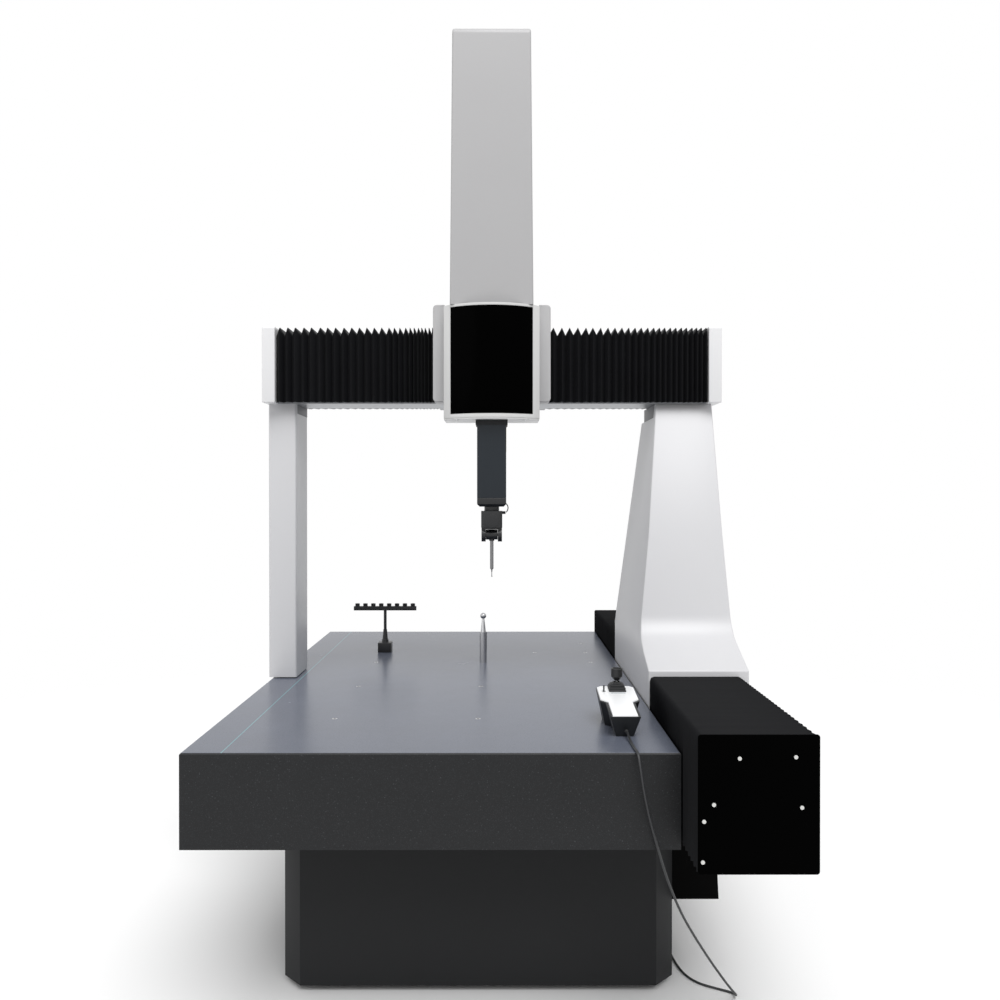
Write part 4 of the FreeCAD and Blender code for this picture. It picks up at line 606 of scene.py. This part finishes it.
def ride_with(obj, node):
    """Let a piece move with a node's body."""
    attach(obj, BODY_OF[node])
    return obj


def stand_for(obj, node, *others):
    """Let a piece stand for rigid nodes of one body."""
    ride_with(obj, node)
    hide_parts(node, *others)
    return obj


# ------------------------------------------------------------------ pleated covers

FOLD_ROUND = 0.0012
CORNER_CUT = 0.010
CORNER_REACH = 0.04

def pleat_stations(start, end, weights):
    """Stations of the valleys and ridges between two ends, from the pleats' relative pitch."""
    total = sum(weights)
    stations = [start]
    for weight in weights:
        half = (end - start) * weight / total / 2
        stations.append(stations[-1] + half)
        stations.append(stations[-1] + half)
    stations[-1] = end
    return stations


def pleated_cover(name, node, axis, start, end, weights, seed):
    """Folded inverted-U cover between two stations along X or Y, from a box opened and cut."""
    low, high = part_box(node)
    across = 1 - axis
    obj = block(name, low, high)
    pick(obj, "FACE", lambda c, n: n.z < -0.9 or abs(n[axis]) > 0.9)
    bpy.ops.mesh.delete(type="FACE")
    leave_edit()
    pick(obj, "EDGE", lambda a, b: abs(a[axis] - b[axis]) > 0.01)
    stations = pleat_stations(start, end, weights)
    bpy.ops.mesh.subdivide(number_cuts=len(stations) - 2)
    leave_edit()
    depth = sizes().pleat_depth
    chance = random.Random(seed)
    valley_depths = [depth * chance.uniform(0.88, 1.06) for _ in stations]
    lean = [chance.uniform(-0.12, 0.12) for _ in stations]
    span = high[axis] - low[axis]
    middle = (low[across] + high[across]) / 2
    inner_half = (high[across] - low[across]) / 2
    top = high.z
    for vertex in obj.data.vertices:
        part = (vertex.co[axis] - low[axis]) / span
        index = round(part * (len(stations) - 1))
        if start > end:
            index = len(stations) - 1 - index
        pitch = abs(end - start) / len(weights) / 2
        shift = 0 if index in (0, len(stations) - 1) else lean[index] * pitch
        vertex.co[axis] = stations[index] + shift
        if index % 2 == 0:
            inset = valley_depths[index]
            side = 1 if vertex.co[across] > middle else -1
            vertex.co[across] = middle + side * (inner_half - inset)
            if vertex.co.z > top - 0.001:
                vertex.co.z = top - inset
    mitre_corners(obj, across, middle, inner_half, top)
    modify(obj, "BEVEL", width=FOLD_ROUND, segments=2, limit_method="ANGLE",
           angle_limit=math.radians(30), use_clamp_overlap=True)
    modify(obj, "SOLIDIFY", thickness=sizes().cover_wall, offset=-1)
    smooth(obj, 25.0)
    return paint(obj, "cloth")


def mitre_corners(obj, across, middle, half, top):
    """Cut the two long upper corners, as folded cloth has them."""
    pick(obj, "EDGE", lambda a, b: min(a.z, b.z) > top - CORNER_REACH
         and abs(abs(a[across] - middle) - half) < CORNER_REACH
         and abs(abs(b[across] - middle) - half) < CORNER_REACH
         and (a[across] - middle) * (b[across] - middle) > 0
         and abs(a[1 - across] - b[1 - across]) > 0.0005)
    bpy.ops.mesh.bevel(offset=CORNER_CUT, segments=2, clamp_overlap=True)
    leave_edit()


def follow_both(obj):
    """Move a cover's place, turn and scale into its mesh."""
    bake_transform(obj)


class MACHINE_OT_beam_covers(bpy.types.Operator):
    """Make the two pleated covers of the cross beam"""
    bl_idname = "machine.beam_covers"
    bl_label = "Beam Covers"

    def execute(self, context):
        count = sizes().beam_pleats
        left = [1.0 - 0.56 * min(1, max(0, (i - 0.42 * count) / (0.35 * count)))
                for i in range(count)]
        right = [1.0 - 0.44 * i / (count - 1) for i in range(count)]
        chance = random.Random(7)
        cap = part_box("x_beam")[1].x
        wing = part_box("carriage_side_covers")[1].x
        for side, node, weights, seed in ((-1, "x_bellows_left", left, 11),
                                          (1, "x_bellows_right", right[::-1], 12)):
            weights = [w * chance.uniform(0.9, 1.1) for w in weights]
            start, end = side * cap, side * wing
            cover = pleated_cover(node + "_cloth", node, 0, start, end, weights, seed)
            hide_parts(node)
            follow_both(cover)
        return {"FINISHED"}


class MACHINE_OT_guide_covers(bpy.types.Operator):
    """Make the pleated covers of the side guide before and behind the bridge's foot"""
    bl_idname = "machine.guide_covers"
    bl_label = "Guide Covers"

    def execute(self, context):
        chance = random.Random(5)
        leg_low, leg_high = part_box("right_leg")
        plates_low, plates_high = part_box("y_bellows_front")[0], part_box("y_bellows_rear")[1]
        runs = (("y_bellows_front", plates_low.y, leg_low.y, sizes().guide_pleats_front, 21),
                ("y_bellows_rear", plates_high.y, leg_high.y, sizes().guide_pleats_rear, 22))
        for node, start, end, count, seed in runs:
            weights = [chance.uniform(0.86, 1.14) * (1.15 - 0.3 * i / count) for i in range(count)]
            cover = pleated_cover(node + "_cloth", node, 1, start, end, weights, seed)
            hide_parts(node)
            follow_both(cover)
        return {"FINISHED"}


# ------------------------------------------------------------------ rigid pieces

class MACHINE_OT_finishes(bpy.types.Operator):
    """Give every rigid node its finish"""
    bl_idname = "machine.finishes"
    bl_label = "Finishes"

    def execute(self, context):
        for node, name in NODE_FINISH.items():
            paint(NODES[node], name)
        return {"FINISHED"}


class MACHINE_OT_casings(bpy.types.Operator):
    """Round the edges of the legs, covers, caps, base and other cased pieces"""
    bl_idname = "machine.casings"
    bl_label = "Casings"

    def execute(self, context):
        edge = sizes().edge_round
        for node, width in (("base_cabinet", edge), ("left_leg", edge),
                            ("right_leg", edge * 1.5), ("beam_end_caps", edge),
                            ("carriage_side_covers", edge), ("carriage_front_cover", edge * 0.8),
                            ("tower_cover", edge), ("guide_console", edge),
                            ("y_cover_end_plates", 0.0012), ("carriage_bottom_plate", 0.001),
                            ("carriage_front_panel", 0.0015), ("leg_top_pads", 0.002),
                            ("ram_end_cap", 0.0015), ("head_body", 0.0022),
                            ("head_rotor", 0.0012), ("z_ram", 0.0012),
                            ("stylus_rack_base", 0.0015), ("stylus_rack_bar", 0.0008),
                            ("pendant_shell", 0.0035), ("pendant_top_plate", 0.0018)):
            softened(node, width)
        return {"FINISHED"}


class MACHINE_OT_details(bpy.types.Operator):
    """Make the pendant's folded boot and strip, and the carriage's two small screws"""
    bl_idname = "machine.details"
    bl_label = "Details"

    def execute(self, context):
        folded_boot()
        label_strip()
        plate_screws()
        return {"FINISHED"}


PLATE_THICKNESS = 0.004
# share of the boot's height and share of its width at each fold
BOOT_FOLDS = ((0.00, 1.00), (0.15, 1.00), (0.20, 0.93), (0.34, 0.96), (0.44, 0.92), (0.49, 0.76),
              (0.62, 0.80), (0.72, 0.76), (0.78, 0.55), (1.00, 0.36))
BOOT_WALL = 0.001
STRIP_SIDE_MARGIN, STRIP_FAR, STRIP_NEAR = 0.004, 0.0125, 0.0055
STRIP_SUNK, STRIP_RAISED = 0.0003, 0.0006
# radius and station of a small pan-head screw, from its root down to its face
SCREW_PROFILE = ((0.0, 0.0006), (0.0035, 0.0006), (0.0050, 0.0), (0.0050, -0.0022),
                 (0.0034, -0.0030), (0.0, -0.0030))
SCREW_SHARE, SCREW_FROM_FRONT = 0.36, 0.035


def pendant_rise():
    """Slope of the pendant's upper face, from its plate's box."""
    low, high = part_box("pendant_top_plate")
    return (high.z - low.z - PLATE_THICKNESS) / (high.y - low.y)


def folded_boot():
    """Square rubber boot of three folds, narrowing upwards, in place of the plain one."""
    low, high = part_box("joystick_boot")
    middle, height = (low + high) / 2, high.z - low.z
    bpy.ops.object.select_all(action="DESELECT")
    bpy.ops.mesh.primitive_plane_add(size=1, location=(middle.x, middle.y, low.z))
    boot = bpy.context.object
    boot.name = boot.data.name = "boot_folds"
    boot.scale = (high.x - low.x, high.y - low.y, 1)
    settle(boot)
    only(boot)
    bpy.ops.object.mode_set(mode="EDIT")
    bpy.ops.mesh.select_all(action="SELECT")
    rise, width = BOOT_FOLDS[0]
    for next_rise, next_width in BOOT_FOLDS[1:]:
        lift = (next_rise - rise) * height
        bpy.ops.mesh.extrude_region_move(TRANSFORM_OT_translate={"value": (0, 0, lift)})
        bpy.ops.transform.resize(value=(next_width / width, next_width / width, 1),
                                 center_override=(middle.x, middle.y, low.z))
        rise, width = next_rise, next_width
    leave_edit()
    pick(boot, "FACE", lambda c, n: abs(n.z) > 0.99)
    bpy.ops.mesh.delete(type="FACE")
    bpy.ops.mesh.select_all(action="SELECT")
    bpy.ops.mesh.normals_make_consistent(inside=False)
    leave_edit()
    for vertex in boot.data.vertices:
        share = 1 - (vertex.co.z - low.z) / height
        vertex.co.z += pendant_rise() * (vertex.co.y - low.y) * share
    modify(boot, "BEVEL", width=FOLD_ROUND, segments=2, limit_method="ANGLE",
           angle_limit=math.radians(30), use_clamp_overlap=True)
    modify(boot, "SOLIDIFY", thickness=BOOT_WALL, offset=-1)
    stand_for(paint(smooth(boot), "rubber"), "joystick_boot")


def label_strip():
    """Bare pale-grey strip on the pendant's plate, in front of the boot."""
    low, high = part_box("joystick_boot")
    strip = block("pendant_strip",
                  (low.x + STRIP_SIDE_MARGIN, low.y - STRIP_FAR, low.z - STRIP_SUNK),
                  (high.x - STRIP_SIDE_MARGIN, low.y - STRIP_NEAR, low.z + STRIP_RAISED))
    for vertex in strip.data.vertices:
        vertex.co.z += pendant_rise() * (vertex.co.y - low.y)
    ride_with(paint(strip, "strip_grey"), "pendant_top_plate")


def plate_screws():
    """Two small screws under the carriage's bottom plate."""
    low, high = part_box("carriage_bottom_plate")
    middle = (low.x + high.x) / 2
    for side in (-1, 1):
        place = (middle + side * (high.x - low.x) * SCREW_SHARE, low.y + SCREW_FROM_FRONT, low.z)
        screw = turned(f"plate_screw_{'left' if side < 0 else 'right'}", place, SCREW_PROFILE,
                       sides=24)
        ride_with(paint(screw, "steel"), "carriage_bottom_plate")


# ------------------------------------------------------------------ pendant cord

CORD_ROUTE = [
    (0.392, -0.866, 0.866), (0.393, -0.902, 0.859), (0.394, -0.941, 0.8545),
    (0.395, -0.983, 0.8555), (0.397, -1.025, 0.857), (0.402, -1.043, 0.820),
    (0.410, -1.046, 0.760), (0.425, -1.042, 0.690), (0.446, -1.030, 0.615),
    (0.470, -1.008, 0.535), (0.500, -0.975, 0.455), (0.538, -0.930, 0.370),
    (0.584, -0.875, 0.285), (0.634, -0.815, 0.198), (0.683, -0.762, 0.118),
    (0.724, -0.722, 0.055), (0.755, -0.690, 0.012), (0.750, -0.655, 0.004),
    (0.700, -0.630, 0.004), (0.650, -0.600, 0.004), (0.618, -0.545, 0.004),
    (0.604, -0.460, 0.004), (0.600, -0.360, 0.004), (0.604, -0.255, 0.004),
    (0.612, -0.150, 0.004), (0.622, -0.045, 0.004), (0.634, 0.060, 0.004),
    (0.648, 0.165, 0.004), (0.664, 0.265, 0.004), (0.686, 0.360, 0.004), (0.710, 0.435, 0.008),
    (0.731, 0.495, 0.036), (0.728, 0.545, 0.078), (0.700, 0.572, 0.108), (0.634, 0.575, 0.110),
]


class MACHINE_OT_cord(bpy.types.Operator):
    """Lay the pendant's cord over the table's edge, to the floor and back to its socket"""
    bl_idname = "machine.cord"
    bl_label = "Pendant Cord"

    def execute(self, context):
        curve = bpy.data.curves.new("pendant_cord_line", "CURVE")
        curve.dimensions = "3D"
        curve.resolution_u = 8
        curve.bevel_depth = sizes().cord_diameter / 2
        curve.bevel_resolution = 4
        curve.use_fill_caps = True
        spline = curve.splines.new("NURBS")
        spline.points.add(len(CORD_ROUTE) - 1)
        for point, place in zip(spline.points, CORD_ROUTE):
            point.co = (*place, 1)
        spline.order_u = 3
        spline.use_endpoint_u = True
        cord = bpy.data.objects.new("pendant_cord_line", curve)
        bpy.context.collection.objects.link(cord)
        paint(cord, "cable")
        stand_for(cord, "pendant_cord")
        strain_relief()
        plug = plug_body()
        return {"FINISHED"}


def strain_relief():
    """Ribbed tapered sleeve where the cord leaves the pendant."""
    low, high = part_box("pendant_gland")
    centre = Vector(((low.x + high.x) / 2, high.y, CORD_ROUTE[0][2]))
    length = high.y - low.y
    profile = [(0.0068, 0.0)]
    ribs = 6
    for i in range(ribs):
        radius = 0.0068 - 0.0022 * i / ribs
        start = length * (0.25 + 0.75 * i / ribs)
        profile += [(radius, start), (radius - 0.0009, start + 0.0006),
                    (radius - 0.0009, start + length * 0.5 / ribs)]
    profile += [(0.0044, length)]
    sleeve = turned("pendant_strain_relief", (0, 0, 0), profile, sides=24)
    sleeve.rotation_mode = "QUATERNION"
    sleeve.rotation_quaternion = (Vector(CORD_ROUTE[0]) - centre).to_track_quat("Z", "Y")
    sleeve.location = centre
    settle(sleeve)
    paint(sleeve, "rubber")
    return stand_for(sleeve, "pendant_gland")


def plug_body():
    """Round connector with a narrower ring, screwed on the base's socket."""
    low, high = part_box("pendant_plug")
    centre = (low + high) / 2
    radius = (high.z - low.z) / 2
    length = high.x - low.x
    profile = [(radius, 0), (radius, length * 0.35), (radius * 0.9, length * 0.37),
               (radius * 0.9, length * 0.72), (radius * 0.55, length * 0.82),
               (radius * 0.45, length)]
    body = turned("pendant_plug_body", (low.x, centre.y, centre.z), profile, axis="X", sides=36)
    paint(body, "dark_metal")
    return stand_for(body, "pendant_plug")


# ------------------------------------------------------------------ stage

FLOOR_RADIUS, FADE_START, FADE_END = 9.0, 2.2, 5.0
ROOM_LIGHT, ROOM_WHITE = 0.46, 1.0
# name, direction that the light travels in, and strength
LAMPS = (("key_light", (-0.12, 0.52, -0.84), 2.6),
         ("fill_light", (0.70, 0.60, -0.25), 0.35))
LAMP_SPREAD = math.radians(45)
CAMERA_PLACE = (0.0254, -3.390, 1.5436)
CAMERA_TURN = (math.radians(90 - 0.32), 0, math.radians(-0.08))
CAMERA_SENSOR, CAMERA_LENS = 36.0, 31.93


class MACHINE_OT_stage(bpy.types.Operator):
    """Set the pale floor, the soft light, the world and the camera"""
    bl_idname = "machine.stage"
    bl_label = "Stage"

    def execute(self, context):
        add_floor()
        add_world()
        add_lamps()
        add_camera()
        bpy.context.scene.view_settings.view_transform = "Standard"
        return {"FINISHED"}


def add_floor():
    """Pale disc that fades out towards its rim."""
    bpy.ops.object.select_all(action="DESELECT")
    bpy.ops.mesh.primitive_circle_add(vertices=96, radius=FLOOR_RADIUS, fill_type="NGON",
                                      location=(0, 0, 0))
    floor = bpy.context.object
    floor.name = floor.data.name = "floor"
    material = bpy.data.materials.new("pale_floor")
    material.use_nodes = True
    tree = material.node_tree
    shader = tree.nodes["Principled BSDF"]
    shader.inputs["Base Color"].default_value = (0.93, 0.93, 0.93, 1)
    shader.inputs["Roughness"].default_value = 0.9
    shader.inputs["Specular IOR Level"].default_value = 0.0
    where = add(tree, "ShaderNodeTexCoord")
    length = add(tree, "ShaderNodeVectorMath", operation="LENGTH")
    wire(tree, where.outputs["Object"], length.inputs[0])
    fade = add(tree, "ShaderNodeMapRange")
    put(fade, From_Min=FADE_START, From_Max=FADE_END, To_Min=0.0, To_Max=1.0)
    wire(tree, length.outputs["Value"], fade.inputs["Value"])
    clear = add(tree, "ShaderNodeBsdfTransparent")
    mix = add(tree, "ShaderNodeMixShader")
    wire(tree, fade.outputs["Result"], mix.inputs["Fac"])
    wire(tree, shader.outputs["BSDF"], mix.inputs[1])
    wire(tree, clear.outputs["BSDF"], mix.inputs[2])
    wire(tree, mix.outputs["Shader"], tree.nodes["Material Output"].inputs["Surface"])
    floor.data.materials.append(material)


def add_world():
    """White to the camera and in reflections, soft grey light otherwise."""
    world = bpy.data.worlds.new("soft_room")
    bpy.context.scene.world = world
    world.use_nodes = True
    tree = world.node_tree
    tree.nodes.clear()
    path = add(tree, "ShaderNodeLightPath")
    light = add(tree, "ShaderNodeBackground")
    light.inputs["Strength"].default_value = ROOM_LIGHT
    white = add(tree, "ShaderNodeBackground")
    white.inputs["Strength"].default_value = ROOM_WHITE
    seen = path.outputs["Is Camera Ray"]
    for ray in ("Is Glossy Ray", "Is Transmission Ray"):
        either = add(tree, "ShaderNodeMath", operation="MAXIMUM")
        wire(tree, seen, either.inputs[0])
        wire(tree, path.outputs[ray], either.inputs[1])
        seen = either.outputs[0]
    mix = add(tree, "ShaderNodeMixShader")
    leave = add(tree, "ShaderNodeOutputWorld")
    wire(tree, seen, mix.inputs["Fac"])
    wire(tree, light.outputs[0], mix.inputs[1])
    wire(tree, white.outputs[0], mix.inputs[2])
    wire(tree, mix.outputs[0], leave.inputs["Surface"])
    for node in (light, white):
        node.inputs["Color"].default_value = (1, 1, 1, 1)


def add_lamps():
    """Soft key light from above, in front and a little right, and a weak fill from the left."""
    for name, aim, strength in LAMPS:
        bpy.ops.object.select_all(action="DESELECT")
        bpy.ops.object.light_add(type="SUN", location=(0, 0, 6))
        lamp = bpy.context.object
        lamp.name = name
        lamp.data.energy = strength
        lamp.data.angle = LAMP_SPREAD
        lamp.rotation_euler = Vector(aim).to_track_quat("-Z", "Y").to_euler()


def add_camera():
    """Camera at standing height in front of the table."""
    data = bpy.data.cameras.new("camera")
    camera = bpy.data.objects.new("camera", data)
    bpy.context.collection.objects.link(camera)
    camera.location = CAMERA_PLACE
    camera.rotation_euler = CAMERA_TURN
    data.sensor_width = CAMERA_SENSOR
    data.lens = CAMERA_LENS
    bpy.context.scene.camera = camera


# ------------------------------------------------------------------ panel and start

OPERATORS = [MACHINE_OT_stage, MACHINE_OT_cord, MACHINE_OT_finishes, MACHINE_OT_casings,
             MACHINE_OT_details, MACHINE_OT_beam_covers, MACHINE_OT_guide_covers]


class MACHINE_PT_panel(bpy.types.Panel):
    """Lists the steps that dress the machine"""
    bl_idname = "MACHINE_PT_panel"
    bl_label = "Measuring Machine"
    bl_space_type = "VIEW_3D"
    bl_region_type = "UI"
    bl_category = "Machine"

    def draw(self, context):
        for operator in OPERATORS:
            self.layout.operator(operator.bl_idname)
        for group in (context.scene.machine_sizes, context.scene.machine_colours):
            for key in group.__annotations__:
                self.layout.prop(group, key)


CLASSES = [MachineSizes, MachineColours, *OPERATORS, MACHINE_PT_panel]


def register():
    """Register the classes and their settings."""
    for item in CLASSES:
        bpy.utils.register_class(item)
    bpy.types.Scene.machine_sizes = PointerProperty(type=MachineSizes)
    bpy.types.Scene.machine_colours = PointerProperty(type=MachineColours)


def unregister():
    """Remove the settings and the classes."""
    del bpy.types.Scene.machine_sizes
    del bpy.types.Scene.machine_colours
    for item in reversed(CLASSES):
        bpy.utils.unregister_class(item)


def main():
    """Dress the machine, step by step."""
    register()
    for operator in OPERATORS:
        group, name = operator.bl_idname.split(".")
        getattr(getattr(bpy.ops, group), name)()
    bpy.context.view_layer.update()


if __name__ == "__main__":
    main()
